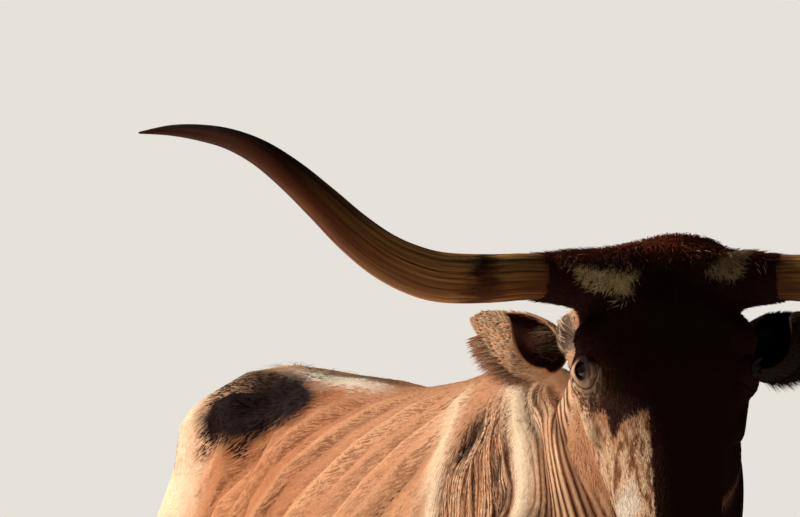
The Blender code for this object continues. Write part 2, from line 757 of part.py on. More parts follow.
def make_head():
    """The head with its eye sockets, lids, nostrils, mouth line and the tuft on the poll."""
    head = blended("head", head_flesh() + [tube("neck_core", NECK)], HEAD_CELL, HEAD_FACES)
    lids = [
        ball("lids", (0, 0, 0), (EYE_RADIUS + LID_THICKNESS,) * 3, frame=eye_frame(side), rings=8)
        for side in SIDES.values()
    ]
    fused(head, [*poll_locks(head), *lids])
    carve(head, block("keep", HEAD_CUTS, frame=POLL_FRAME), "INTERSECT")
    for side in SIDES.values():
        socket = eye_frame(side)
        hollow = ball("socket", (0, 0, 0), (EYE_RADIUS + SEAM,) * 3, frame=socket, rings=8)
        carve(head, carve(hollow, eye_opening(socket), "UNION"))
        nostril = HEAD_FRAME @ Matrix.Diagonal((side, 1, 1, 1)) @ Matrix.Translation(NOSTRIL[0])
        slant = Matrix.Rotation(NOSTRIL_TURN, 4, "Z") @ Matrix.Rotation(NOSTRIL_ROLL, 4, "X")
        carve(head, ball("nostril", (0, 0, 0), NOSTRIL[1], frame=nostril @ slant, rings=6))
        horn_frame = POLL_FRAME @ Matrix.Diagonal((side, 1, 1, 1))
        carve(head, block("horn_end", box_planes(*HORN_END), frame=horn_frame))
        carve(head, block("ear_end", box_planes(*EAR_END), frame=ear_frame(side)))
    return carve(head, mouth_slit())


def eye_opening(frame):
    """The prism that opens the lids, with pointed corners."""
    half_length, half_height = EYE_OPENING
    outline = []
    for k in range(14):
        angle = 2 * math.pi * k / 14
        rise = math.sin(angle)
        outline.append((half_length * math.cos(angle), half_height * rise * abs(rise) ** 0.35))
    return loft("opening", [[(x, y, z) for x, y in outline] for z in EYE_OPENING_REACH], frame)


def mouth_slit():
    """A thin wedge that runs round the lips from one corner of the mouth to the other."""
    path = [Vector(point) for point in MOUTH_LINE]
    path = [*path, Vector(MOUTH_FRONT), *[Vector(mirrored(point, -1)) for point in reversed(path)]]
    rings = []
    for i, point in enumerate(path):
        ahead = (path[min(i + 1, len(path) - 1)] - path[max(i - 1, 0)]).normalized()
        out = ahead.cross(Vector((0, 0, 1))).normalized()
        out = out if out.dot(point - Vector((0, -0.43, point.z))) > 0 else -out
        half = MOUTH_GAP / 2
        inner, outer = point - out * MOUTH_DEPTH, point + out * 0.03
        rings.append([inner + Vector((0, 0, half * 0.4)), outer + Vector((0, 0, half * 2)),
                      outer - Vector((0, 0, half * 2)), inner - Vector((0, 0, half * 0.4))])
    return loft("mouth", rings, HEAD_FRAME)


def make_horn(word, side):
    stations = [((out, -forward, up), radius, radius) for out, forward, up, radius in HORN]
    frame = POLL_FRAME @ Matrix.Diagonal((side, 1, 1, 1))
    horn = tube(f"horn_{word}", stations, frame, steps=1, count=14, side=Vector((0, 1, 0)))
    return carve(horn, block("end", [((HORN_BASE + SEAM, 0, 0), (-1, 0, 0))], frame=frame), "INTERSECT")


def make_eye(word, side):
    return ball(f"eye_{word}", (0, 0, 0), (EYE_RADIUS,) * 3, frame=eye_frame(side), rings=8)


def ear_point(row, share):
    """A point of the cup's middle surface. `share` runs from its lower edge to its upper one, -1 to 1."""
    along, aside, radius, upper, lower, keel = row
    angle = math.radians(upper if share > 0 else lower) * share
    return Vector((along, aside + radius * math.sin(angle), keel + radius * (1 - math.cos(angle))))


def ear_cup(frame, across=8, steps=2):
    """The ear's thin wall, cupped along its length."""
    rows = spline(EAR, steps)
    shape = bmesh.new()
    grid = []
    shares = [2 * k / (across - 1) - 1 for k in range(across)]
    for row in rows:
        grid.append([shape.verts.new(frame @ ear_point(row, share)) for share in shares])
    for one, two in zip(grid, grid[1:]):
        for k in range(across - 1):
            shape.faces.new((one[k], one[k + 1], two[k + 1], two[k]))
    bmesh.ops.triangulate(shape, faces=shape.faces)
    cup = mesh_object("cup", shape)
    wall = cup.modifiers.new("wall", "SOLIDIFY")
    wall.thickness = EAR_WALL
    wall.offset = 0
    return evaluated(cup)


def ear_fringe(frame):
    """Long hairs in locks: a fringe under the lower fold, and a tuft over the base of the opening."""
    draw = random.Random(5)
    rows = spline(EAR, 4)
    locks = []
    for k in range(FRINGE_COUNT):
        row = rows[round(3 + 17 * k / (FRINGE_COUNT - 1))]
        share = draw.uniform(*FRINGE_PLACE)
        rim, beside = ear_point(row, share), ear_point(row, share - 0.04)
        out = Vector((1, 0, 0)).cross(rim - beside).normalized()
        out = out if out.z < 0 or out.y < 0 else -out
        way = (out * 0.65 + Vector((0.60 + draw.uniform(-0.15, 0.25), -0.45, 0))).normalized()
        reach = FRINGE_LENGTH * draw.uniform(0.8, 1.2)
        start = rim - out * 0.001 - way * FRINGE_SINK
        spine = [start + way * ((reach + FRINGE_SINK) * t) + FRINGE_BOW * (t * t) for t in (0, 0.3, 0.65, 1)]
        locks.append(strand("lock", spine, [out] * 4, FRINGE_WIDTH, FRINGE_THICKNESS, frame))
    for k in range(3):
        angle = math.radians(50 * k - 10)
        start = Vector((0.010, 0.018 * math.cos(angle), 0.016 + 0.008 * math.sin(angle)))
        way = Vector((0.70, -0.35 - 0.15 * k, 0.25)).normalized()
        spine = [
            start + way * (EAR_TUFT_LENGTH * t) + Vector((0, -0.012 * t * t, 0)) for t in (0, 0.35, 0.7, 1)
        ]
        faced = [Vector((-0.2, 0.3, 0.9))] * 4
        locks.append(strand("lock", spine, faced, EAR_TUFT_WIDTH, EAR_TUFT_THICKNESS, frame))
    return locks


def make_ear(word, side):
    frame = ear_frame(side)
    ear = ear_cup(frame)
    ear.name = f"ear_{word}"
    pieces = [ball("plug", (0, 0, 0), EAR_PLUG, frame=frame, rings=6), *ear_fringe(frame)]
    fused(ear, pieces)
    return carve(ear, block("end", [((SEAM, 0, 0), (-1, 0, 0))], frame=frame), "INTERSECT")


def make_claw(name, place, side):
    """One half of a cloven hoof on the floor. `side` says which way its outer wall bulges."""
    rings = []
    for height, toe, heel, half_width in CLAW:
        ring = []
        for k in range(12):
            angle = 2 * math.pi * k / 12
            reach = toe if math.sin(angle) < 0 else heel
            outer = math.cos(angle) * side > 0
            squareness = 0.85 if outer else 0.55
            x = math.copysign(half_width * abs(math.cos(angle)) ** squareness, math.cos(angle))
            ring.append(place + Vector((x + side * CLAW_PLACE, reach * math.sin(angle), height)))
        rings.append(ring)
    claw = loft(name, rings)
    level, slope = CORONET
    return carve(claw, block("end", [(place + Vector((0, 0, level - SEAM)), slope)]), "INTERSECT")


def make_legs(torso):
    """Each leg is parted from the torso, then at the knee or hock, and stands on two claws."""
    made = []
    for word, side in SIDES.items():
        for kind, rows, step in (("foreleg", FORELEG, FORE_STEP), ("hind_leg", HIND_LEG, HIND_STEP)):
            top, slope, inner, front, back, joint = LEG_CUTS[kind]
            planes = [
                (mirrored(top, side), mirrored(slope, side)),
                ((inner * side, 0, 0), (-side, 0, 0)),
                ((0, front, 0), (0, -1, 0)),
                ((0, back, 0), (0, 1, 0)),
            ]
            upper = part_off(torso, f"{kind}_upper_{word}", planes)
            lower = part_off(upper, f"{kind}_lower_{word}", [((0, 0, joint), (0, 0, 1))])
            place = foot_place(rows, side, step[word])
            level, coronet_slope = CORONET
            carve(lower, block("end", [(place + Vector((0, 0, level)), coronet_slope)]))
            made += [(upper, "coat"), (lower, "coat")]
            for claw, offset in (("outer", side), ("inner", -side)):
                made.append((make_claw(f"{kind}_claw_{claw}_{word}", place, offset), "hoof"))
    return made


def make_tail():
    """The tail below its cut, and the switch of long hair at its end."""
    tail = tube("tail", TAIL[2:], steps=2, count=10)
    ends = [(TAIL_CUT, -TAIL_RUNS), ((0, 0, SWITCH_TOP + SEAM), (0, 0, -1))]
    carve(tail, block("end", ends), "INTERSECT")
    switch = tube("tail_switch", SWITCH_CORE, steps=2, count=10)
    draw = random.Random(3)
    locks = []
    middle = Vector((0.0, SWITCH_CORE[0][0][1], 0.0))
    for tier, (top, bottom, count, spread) in enumerate(SWITCH_TIERS):
        for k in range(count):
            angle = 2 * math.pi * (k + 0.5 * (tier % 2) + draw.uniform(-0.15, 0.15)) / count
            out = Vector((math.cos(angle), math.sin(angle), 0))
            low = bottom + draw.uniform(-0.02, 0.03)
            swing = draw.uniform(0.75, 1.15) * spread
            spine = [
                middle + out * radius + Vector((0, 0, top + (low - top) * t))
                for t, radius in ((0, 0.010), (0.35, 0.70 * swing), (0.7, 0.76 * swing), (1, 0.45 * swing))
            ]
            width = SWITCH_LOCK_WIDTH * draw.uniform(0.85, 1.15)
            locks.append(strand("lock", spine, [out] * 4, width, SWITCH_LOCK_THICKNESS))
    fused(switch, locks)
    carve(switch, block("end", [((0, 0, SWITCH_TOP), (0, 0, 1))]), "INTERSECT")
    return [(tail, "coat"), (switch, "switch")]


def paint(made, word):
    """Gives a finished part its material."""
    material = bpy.data.materials.new(made.name)
    material.use_nodes = True
    shader = material.node_tree.nodes["Principled BSDF"]
    colour, rough = MATERIALS[word]
    shader.inputs["Base Color"].default_value = (*colour, 1)
    shader.inputs["Roughness"].default_value = rough
    shader.inputs["Metallic"].default_value = 0
    made.data.materials.clear()
    made.data.materials.append(material)


def main():
    for old in list(bpy.data.objects):
        bpy.data.objects.remove(old)
    torso = blended("torso", body_flesh() + head_flesh(), BODY_CELL, BODY_FACES)
    carve(torso, block("head_side", HEAD_CUTS, SEAM, POLL_FRAME))
    made = [(part_off(torso, "neck", [NECK_CUT]), "coat"), (torso, "coat"), (make_head(), "coat")]
    made += make_legs(torso)
    root_end = [
        (TAIL_CUT, -TAIL_RUNS),
        ((0, 0.915, 0), (0, -1, 0)),
        ((-0.06, 0, 0), (-1, 0, 0)),
        ((0.06, 0, 0), (1, 0, 0)),
    ]
    carve(torso, block("tail_side", root_end, SEAM))
    made += make_tail()
    for word, side in SIDES.items():
        made.append((make_horn(word, side), "horn"))
        made.append((make_ear(word, side), "coat"))
        made.append((make_eye(word, side), "eye"))
    whole = bpy.data.objects.new("longhorn_place", None)
    whole.location = -FLOOR_CENTRE
    parts = bpy.data.collections.new("longhorn")
    bpy.context.scene.collection.children.link(parts)
    parts.objects.link(whole)
    for part, word in made:
        paint(part, word)
        part.parent = whole
        bpy.context.scene.collection.objects.unlink(part)
        parts.objects.link(part)


main()
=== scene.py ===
"""A texas longhorn steer at life size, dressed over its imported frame.

Metres, +Z up. The flesh is lofted in the frame of the CAD's own sections and then set down over the floor's
middle, so every piece lies where the CAD says.
"""

import itertools
import json
import math
import random

import bmesh
import bpy
import numpy as np
from mathutils import Matrix, Vector
from mathutils.bvhtree import BVHTree

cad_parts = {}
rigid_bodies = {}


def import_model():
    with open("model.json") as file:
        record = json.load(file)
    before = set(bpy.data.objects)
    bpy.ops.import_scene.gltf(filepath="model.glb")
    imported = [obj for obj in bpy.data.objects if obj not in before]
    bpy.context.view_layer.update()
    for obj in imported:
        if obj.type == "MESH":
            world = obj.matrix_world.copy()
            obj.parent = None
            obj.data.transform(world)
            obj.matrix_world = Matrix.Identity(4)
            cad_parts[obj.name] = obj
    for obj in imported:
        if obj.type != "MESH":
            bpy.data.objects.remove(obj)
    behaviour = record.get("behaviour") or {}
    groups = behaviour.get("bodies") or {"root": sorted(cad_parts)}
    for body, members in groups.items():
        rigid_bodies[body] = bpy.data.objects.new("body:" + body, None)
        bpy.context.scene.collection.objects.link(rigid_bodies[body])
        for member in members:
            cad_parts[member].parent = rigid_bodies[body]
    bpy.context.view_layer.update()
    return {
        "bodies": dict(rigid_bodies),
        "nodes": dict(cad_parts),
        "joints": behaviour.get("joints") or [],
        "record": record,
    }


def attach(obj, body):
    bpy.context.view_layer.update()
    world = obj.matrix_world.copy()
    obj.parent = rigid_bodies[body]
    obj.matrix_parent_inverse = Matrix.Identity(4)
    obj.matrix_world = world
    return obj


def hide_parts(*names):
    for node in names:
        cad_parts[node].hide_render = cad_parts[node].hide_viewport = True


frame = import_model()

SIDES = {"right": -1, "left": 1}

# The middle of the whole animal on the floor, in the frame that the sections below are written in.
FLOOR_CENTRE = Vector((-0.130, -0.143, 0.0))

HEAD_PLACE = Vector((-0.150, -1.030, 1.520))
HEAD_TURN = math.radians(22)
HEAD_DROP = math.radians(62)
POLL_FRAME = Matrix.Translation(HEAD_PLACE) @ Matrix.Rotation(-HEAD_TURN, 4, "Z")
HEAD_FRAME = POLL_FRAME @ Matrix.Rotation(HEAD_DROP, 4, "X")

# The trunk from the breast to the buttocks:
# along, top, bottom, half width, height of the widest place, squareness above and below it.
TRUNK = (
    (-0.740, 1.080, 0.820, 0.095, 0.950, 2.0, 2.0),
    (-0.660, 1.240, 0.690, 0.170, 0.980, 2.0, 2.0),
    (-0.520, 1.370, 0.620, 0.200, 1.000, 1.8, 2.0),
    (-0.360, 1.432, 0.615, 0.205, 1.000, 1.7, 2.0),
    (-0.160, 1.405, 0.620, 0.245, 0.980, 1.8, 2.1),
    (0.060, 1.390, 0.610, 0.285, 0.960, 2.0, 2.2),
    (0.260, 1.413, 0.625, 0.292, 0.960, 2.1, 2.2),
    (0.400, 1.423, 0.690, 0.250, 1.000, 2.2, 2.1),
    (0.540, 1.438, 0.780, 0.218, 1.080, 2.4, 2.0),
    (0.680, 1.448, 0.860, 0.210, 1.120, 2.6, 2.0),
    (0.800, 1.425, 0.950, 0.165, 1.180, 2.5, 2.0),
    (0.880, 1.355, 1.060, 0.090, 1.220, 2.1, 2.0),
)

# The neck from inside the chest to the back of the head: centre, half width, half depth.
NECK = (
    ((0.000, -0.350, 1.080), 0.195, 0.320),
    ((0.000, -0.550, 1.110), 0.198, 0.290),
    ((0.000, -0.635, 1.140), 0.192, 0.265),
    ((-0.004, -0.710, 1.190), 0.166, 0.232),
    ((-0.045, -0.820, 1.290), 0.138, 0.185),
    ((-0.080, -0.900, 1.380), 0.118, 0.150),
    ((-0.116, -0.950, 1.450), 0.096, 0.112),
)

# The loose fold of skin under the neck: centre, half width, half depth.
DEWLAP = (
    ((-0.085, -0.860, 1.230), 0.020, 0.050),
    ((-0.050, -0.830, 1.080), 0.022, 0.075),
    ((-0.015, -0.760, 0.920), 0.026, 0.085),
    ((0.000, -0.680, 0.780), 0.040, 0.080),
    ((0.000, -0.560, 0.680), 0.045, 0.060),
)

# The head along its own length from the poll to the lips, in its own frame with the forehead up:
# along, forehead side, jaw side, half width, level of the widest place, squareness above and below it.
SKULL = (
    (0.070, -0.020, -0.090, 0.080, -0.050, 2.2, 2.0),
    (0.048, 0.020, -0.130, 0.108, -0.040, 2.4, 2.0),
    (0.010, 0.040, -0.170, 0.122, -0.030, 2.6, 2.0),
    (-0.050, 0.050, -0.215, 0.122, -0.050, 2.6, 2.0),
    (-0.110, 0.052, -0.245, 0.126, -0.050, 2.8, 2.0),
    (-0.160, 0.050, -0.250, 0.124, -0.050, 2.7, 2.0),
    (-0.220, 0.042, -0.232, 0.110, -0.080, 2.4, 2.1),
    (-0.290, 0.029, -0.200, 0.090, -0.090, 2.2, 2.1),
    (-0.370, 0.016, -0.168, 0.075, -0.085, 2.2, 2.2),
    (-0.430, 0.005, -0.155, 0.077, -0.075, 2.4, 2.2),
    (-0.480, -0.008, -0.150, 0.080, -0.070, 2.7, 2.2),
    (-0.512, -0.032, -0.132, 0.066, -0.078, 2.6, 2.2),
)

# A limb from inside the body down to its hoof: across, along, height, half width, half depth.
FORELEG = (
    (0.140, -0.500, 1.020, 0.070, 0.150),
    (0.160, -0.470, 0.890, 0.070, 0.120),
    (0.168, -0.455, 0.780, 0.061, 0.090),
    (0.167, -0.462, 0.660, 0.050, 0.064),
    (0.165, -0.474, 0.540, 0.044, 0.050),
    (0.164, -0.480, 0.460, 0.048, 0.051),
    (0.164, -0.484, 0.415, 0.048, 0.051),
    (0.164, -0.478, 0.355, 0.037, 0.041),
    (0.164, -0.474, 0.270, 0.032, 0.038),
    (0.164, -0.474, 0.190, 0.036, 0.042),
    (0.164, -0.480, 0.150, 0.043, 0.047),
    (0.164, -0.500, 0.105, 0.043, 0.044),
    (0.164, -0.520, 0.060, 0.050, 0.052),
    (0.164, -0.528, 0.035, 0.046, 0.046),
)
HIND_LEG = (
    (0.145, 0.640, 1.220, 0.085, 0.180),
    (0.170, 0.625, 1.060, 0.092, 0.200),
    (0.178, 0.585, 0.930, 0.080, 0.170),
    (0.178, 0.575, 0.830, 0.066, 0.130),
    (0.172, 0.625, 0.725, 0.055, 0.092),
    (0.168, 0.690, 0.635, 0.045, 0.068),
    (0.165, 0.745, 0.560, 0.041, 0.060),
    (0.164, 0.765, 0.500, 0.041, 0.054),
    (0.164, 0.758, 0.430, 0.035, 0.044),
    (0.164, 0.748, 0.320, 0.031, 0.038),
    (0.164, 0.742, 0.210, 0.035, 0.042),
    (0.164, 0.738, 0.160, 0.042, 0.047),
    (0.164, 0.716, 0.110, 0.042, 0.044),
    (0.164, 0.696, 0.060, 0.049, 0.052),
    (0.164, 0.688, 0.035, 0.045, 0.046),
)
LIMB_ROOT = 1.10  # the height where a limb no longer moves with its foot
# How far each foot is set forward of (-) or behind (+) the even stance.
FORE_STEP = {"right": -0.020, "left": 0.035}
HIND_STEP = {"right": 0.030, "left": -0.035}
LEGS = (("foreleg", FORELEG, FORE_STEP), ("hind_leg", HIND_LEG, HIND_STEP))
# A dewclaw beside the heel: centre from the foot's middle, radii.
DEWCLAW = ((0.020, 0.048, 0.135), (0.013, 0.015, 0.022))

# Bones that raise the body as rounded lumps: centre, radii.
BONES = (
    ((0.186, 0.515, 1.338), (0.056, 0.072, 0.056)),  # hook bone
    ((0.096, 0.835, 1.280), (0.055, 0.060, 0.055)),  # pin bone
    ((0.178, -0.640, 1.050), (0.070, 0.090, 0.130)),  # point of the shoulder
    ((0.112, 0.660, 1.285), (0.125, 0.190, 0.120)),  # rump
)

# The breast's fat and the sheath under the belly: centre, radii, and how far the sheath leans in degrees.
BRISKET = ((0, -0.650, 0.790), (0.110, 0.130, 0.145))
SHEATH = ((0, 0.180, 0.610), (0.034, 0.120, 0.040), 6)

# Muscles that raise the body, each as a rounded tube: centre, half width, half depth.
SHOULDER_BLADE = (
    ((0.075, -0.360, 1.330), 0.040, 0.080),
    ((0.125, -0.420, 1.230), 0.055, 0.095),
    ((0.160, -0.500, 1.120), 0.062, 0.105),
    ((0.176, -0.590, 1.035), 0.060, 0.088),
)
BACK_OF_ARM = (
    ((0.130, -0.330, 1.120), 0.045, 0.110),
    ((0.165, -0.365, 1.000), 0.060, 0.125),
    ((0.175, -0.405, 0.890), 0.058, 0.100),
    ((0.170, -0.430, 0.800), 0.045, 0.062),
)
FRONT_OF_THIGH = (
    ((0.170, 0.510, 1.260), 0.058, 0.080),
    ((0.198, 0.490, 1.120), 0.064, 0.100),
    ((0.195, 0.465, 0.980), 0.062, 0.095),
    ((0.180, 0.470, 0.860), 0.055, 0.070),
)
BACK_OF_THIGH = (
    ((0.115, 0.785, 1.240), 0.078, 0.085),
    ((0.168, 0.740, 1.120), 0.092, 0.120),
    ((0.180, 0.725, 0.990), 0.086, 0.125),
    ((0.175, 0.715, 0.880), 0.066, 0.105),
    ((0.170, 0.730, 0.780), 0.044, 0.070),
    ((0.166, 0.775, 0.680), 0.026, 0.036),
    ((0.164, 0.806, 0.605), 0.022, 0.026),
    ((0.164, 0.798, 0.550), 0.022, 0.028),
)
MUSCLES = (SHOULDER_BLADE, BACK_OF_ARM, FRONT_OF_THIGH, BACK_OF_THIGH)

# Hollows of a lean animal, where the hide sinks between its bones: centre, radii, depth.
HOLLOWS = (
    ((0.190, 0.395, 1.270), (0.100, 0.095, 0.120), 0.020),  # before the hook bone
    ((0.155, -0.410, 1.285), (0.070, 0.075, 0.080), 0.014),  # before the shoulder blade
    ((0.215, -0.230, 1.180), (0.080, 0.070, 0.200), 0.008),  # behind the shoulder blade
)

# Bones and muscles that raise the head, in its own frame: centre, radii.
HEAD_FORMS = (
    ((0.104, -0.112, 0.006), (0.036, 0.034, 0.032)),  # brow over the eye
    ((0.113, -0.154, -0.024), (0.031, 0.044, 0.032)),  # bone round the eye
    ((0.076, -0.140, -0.150), (0.034, 0.110, 0.085)),  # cheek
    ((0.060, -0.070, -0.195), (0.032, 0.065, 0.050)),  # corner of the jaw
    ((0.116, -0.045, -0.095), (0.036, 0.040, 0.042)),  # root of the ear
    ((0.050, -0.480, -0.042), (0.034, 0.038, 0.036)),  # wing of the nostril
    ((0.044, -0.440, -0.088), (0.036, 0.070, 0.032)),  # upper lip
    ((0.024, -0.452, -0.146), (0.034, 0.050, 0.020)),  # chin
)
# The crest between the horns, in the head's frame: centre, radii.
POLL_CREST = (
    ((0.000, 0.010, 0.000), (0.125, 0.046, 0.052)),
    ((0.030, 0.034, 0.004), (0.080, 0.034, 0.040)),
)
# The ridge under the eye and the root of the horn, each as a rounded tube: centre, half width, half depth.
CHEEK_BONE = (
    ((0.102, -0.235, -0.060), 0.018, 0.020),
    ((0.114, -0.160, -0.066), 0.020, 0.022),
    ((0.120, -0.060, -0.085), 0.020, 0.022),
)
HORN_BOSS = (
    ((0.050, 0.000, -0.006), 0.066, 0.054),
    ((0.110, 0.000, -0.003), 0.054, 0.047),
    ((0.160, 0.002, 0.000), 0.043, 0.041),
    ((0.186, 0.005, 0.001), 0.040, 0.039),
)

# The horn from inside the head to its tip, level with the poll: out, forward, up, radius.
HORN_BASE = 0.170
HORN = (
    (0.140, 0.001, 0.000, 0.0340),
    (0.200, 0.006, 0.001, 0.0350),
    (0.265, 0.022, -0.003, 0.0365),
    (0.330, 0.045, -0.003, 0.0375),
    (0.375, 0.058, 0.007, 0.0365),
    (0.420, 0.066, 0.028, 0.0340),
    (0.465, 0.066, 0.062, 0.0310),
    (0.510, 0.058, 0.105, 0.0275),
    (0.555, 0.042, 0.147, 0.0240),
    (0.600, 0.022, 0.182, 0.0200),
    (0.645, 0.000, 0.205, 0.0160),
    (0.690, -0.022, 0.217, 0.0125),
    (0.735, -0.040, 0.222, 0.0080),
    (0.782, -0.054, 0.2195, 0.0015),
)

# The eye in the head's frame. It looks out, a little forward and a little down the face.
EYE_PLACE = Vector((0.1165, -0.158, -0.008))
EYE_LOOK = Vector((0.62, -0.28, 0.735))
EYE_RADIUS = 0.021
LID_THICKNESS = 0.0042
EYE_OPENING = (0.0120, 0.0088)  # half length and half height of the gap between the lids

# The nostril and the mouth's line from its corner to the middle of the lips, in the head's frame.
NOSTRIL = ((0.045, -0.510, -0.052), (0.012, 0.026, 0.010))  # centre, radii
NOSTRIL_TURN = math.radians(-28)
NOSTRIL_ROLL = math.radians(12)
MOUTH_LINE = (
    (0.074, -0.385, -0.118),
    (0.071, -0.430, -0.114),
    (0.062, -0.480, -0.108),
    (0.036, -0.510, -0.106),
)
MOUTH_FRONT = (0.000, -0.517, -0.108)
MOUTH_MIDDLE = -0.43  # the mouth opens outwards from this place along the head
MOUTH_REACH = 0.03
MOUTH_DEPTH = 0.008
MOUTH_GAP = 0.0032

# The ear in a frame of its own: X along it, Y towards its upper edge and Z out of its cup.
EAR_BASE = Vector((0.146, 0.070, -0.110))
EAR_AXIS = Vector((0.69, 0.65, 0.27))
EAR_OPENS = Vector((0.36, -0.64, 0.60))
EAR_WALL = 0.005
# Along, shift up, the cup's radius, degrees that it wraps to its upper and to its lower edge, keel.
EAR = (
    (0.004, 0.000, 0.030, 150, 85, -0.032),
    (0.030, -0.004, 0.044, 135, 125, -0.050),
    (0.060, -0.006, 0.050, 125, 170, -0.056),
    (0.090, -0.001, 0.044, 118, 196, -0.048),
    (0.118, 0.004, 0.033, 112, 204, -0.034),
    (0.146, 0.010, 0.022, 100, 188, -0.020),
    (0.172, 0.015, 0.011, 80, 120, -0.006),
)

# The tail from its root to the switch: centre, half width, half depth.
TAIL = (
    ((0.000, 0.800, 1.385), 0.034, 0.034),
    ((0.000, 0.880, 1.350), 0.029, 0.030),
    ((0.000, 0.945, 1.270), 0.026, 0.027),
    ((0.000, 0.975, 1.150), 0.023, 0.024),
    ((0.000, 0.982, 1.000), 0.019, 0.020),
    ((0.000, 0.978, 0.850), 0.016, 0.017),
    ((0.000, 0.972, 0.700), 0.014, 0.015),
)

# Where the CAD's cuts pass, each as a point and the way out of the part that it bounds. The head's are level
# with the poll: one passes behind the poll and the jaw, and one between the throat and the dewlap.
HEAD_CUTS = [
    (Vector((0, 0.100, 0.060)), Vector((0, 0.933, 0.359))),
    (Vector((0, 0.235, -0.235)), Vector((0, 0.750, -0.660))),
]
NECK_CUT = (Vector((0, -0.520, 1.420)), Vector((0, 0.898, -0.441)))
# The top of the hoof: its height and the way that it faces.
CORONET = (0.062, Vector((0, 0.34, 0.94)))
CLAW = (  # height, toe, heel, half width
    (0.000, 0.074, 0.052, 0.0225),
    (0.012, 0.072, 0.053, 0.0230),
    (0.045, 0.055, 0.050, 0.0225),
    (0.095, 0.036, 0.040, 0.0205),
)
CLAW_PLACE = 0.0262  # from the foot's middle to the claw's

# How far the broad folds of the flank are shifted, so that their crests lie where the photo shows them.
FOLD_SHIFT = -0.005
FLANK_FOLDS = ((0.172, 0.0085), (0.074, 0.0035), (0.034, 0.0009))  # spacing and height: broad, medium, narrow
# The folds of the neck fan out from a point over the withers, given along and up. Angles are in radians.
WITHERS = (-0.310, 1.470)
NECK_FOLDS = ((0.120, 0.0055), (0.050, 0.0024))  # angle from fold to fold, and height: broad, narrow
CREASE = 0.020  # the angle from one fine crease to the next
CREASE_SHADE = 0.85  # how much painted shade darkens the coat down in a crease
EYE_CREASE = (0.0058, 0.0009)  # spacing and height of the creases round the eye

# The skin: the cell that it is fused in, how it is evened out, its triangles, and its depth under the coat.
SKIN_CELL = 0.0055
RELAX_ROUNDS = 40  # on a cell of RELAX_CELL, and more on a finer one
RELAX_CELL = 0.010
RELAX_SHARE = 0.6
SKIN_TRIANGLES = 193_000
COAT_DEPTH = 0.003
FACE_DEPTH = 0.0015
SEAM = 0.0003  # the gap between two pieces that meet
# Where the skin is divided finer: nearer to the eye than these, and further along the head than that.
FINE_EYE = 0.062
FINEST_EYE = 0.034
FINE_MUZZLE = -0.44
# The part of the skin that a foot's cut looks at: its height, and its reach from the foot's middle.
FOOT_HEIGHT = 0.14
FOOT_REACH = 0.16
SKIN_TONE = 0.94  # the skin's colour against that of the hair on it

# The short coat: how many tufts in all and in one piece, and where it ends at the lids and the hooves.
COAT_TUFTS = 186_000
MOST_TUFTS = 33_000
LIDS_BARE = 0.0240
COAT_LOWEST = 0.064
# A tuft is a sunk root, two edges and a ridge at its widest, and a tip.
TUFT_FACES = np.array(((0, 1, 3), (0, 3, 2), (0, 2, 1), (4, 3, 1), (4, 2, 3), (4, 1, 2)))
TUFT_PATCH = np.array(((0, -0.0014), (-0.0012, 0), (0.0012, 0), (0, 0.0002), (0, 0.0014)))
# Each tuft darkens towards its sunk root as painted shade, and is a little lighter at its tip.
TUFT_SHADE = np.array((0.88, 0.98, 0.98, 1.0, 1.05))
TUFT_SINK = 0.0008
TUFT_CLEAR = 0.0001

# The longer hair: how many of each, the rings of a lock, and how deep its root is sunk.
POLL_LOCKS = 4600
BACK_WISPS = 70
EAR_HAIRS = 2100
SWITCH_LOCKS = 760
WHISKERS = 90
LASHES = 70
LOCK_RINGS = 5
SWITCH_RINGS = 8
LOCK_SINK = 0.003
EAR_LOCK = 0.0026  # the width of a lock on the ear
OVER_BACK = 1.60  # a height above the whole back
HORN_RINGS = 9

# Colours of the coat, as linear red, green and blue.
ORANGE = np.array((0.40, 0.160, 0.075))
BROWN = np.array((0.200, 0.068, 0.022))
RUST = np.array((0.330, 0.110, 0.042))
PALE = np.array((0.66, 0.38, 0.215))
CREAM = np.array((0.78, 0.62, 0.44))
WHITE = np.array((0.74, 0.66, 0.54))
WHITE_IN_SHADE = np.array((0.085, 0.070, 0.050))
MAHOGANY = np.array((0.028, 0.008, 0.005))
DARK = np.array((0.008, 0.002, 0.001))
POLL_RED = np.array((0.150, 0.032, 0.011))
LEATHER = np.array((0.050, 0.028, 0.024))
TAN = np.array((0.56, 0.40, 0.20))
LID_SKIN = np.array((0.58, 0.37, 0.26))
# The inner wall of the ear's cup is painted dark, as the shadow in it.
EAR_CUP_SHADE = np.array((0.16, 0.055, 0.035))
EAR_SHADE = {"right": 1.0, "left": 0.06}  # the far ear is painted dark, as painted shadow
# Colours along the horn from its base, round the eye from its pupil, and in the rings of the hoof.
HORN_STOPS = (
    # The first stop is painted shade where the poll's hair meets the horn.
    (0.00, (0.200, 0.090, 0.030)),
    (0.12, (0.620, 0.310, 0.090)),
    (0.17, (0.090, 0.046, 0.018)),
    (0.20, (0.060, 0.030, 0.013)),
    (0.25, (0.800, 0.380, 0.125)),
    (0.38, (0.680, 0.300, 0.095)),
    (0.50, (0.340, 0.135, 0.042)),
    (0.63, (0.070, 0.024, 0.008)),
    (0.74, (0.012, 0.004, 0.002)),
    (1.00, (0.004, 0.002, 0.001)),
)
EYE_STOPS = (
    (0.0, (0.030, 0.014, 0.008)),
    (0.30, (0.055, 0.026, 0.014)),
    (0.62, (0.020, 0.011, 0.008)),
    (0.72, (0.16, 0.12, 0.10)),
    (1.0, (0.30, 0.20, 0.17)),
)
HOOF_STOPS = (
    (0.25, (0.022, 0.016, 0.013)),
    (0.55, (0.065, 0.046, 0.034)),
    (0.8, (0.120, 0.090, 0.066)),
)
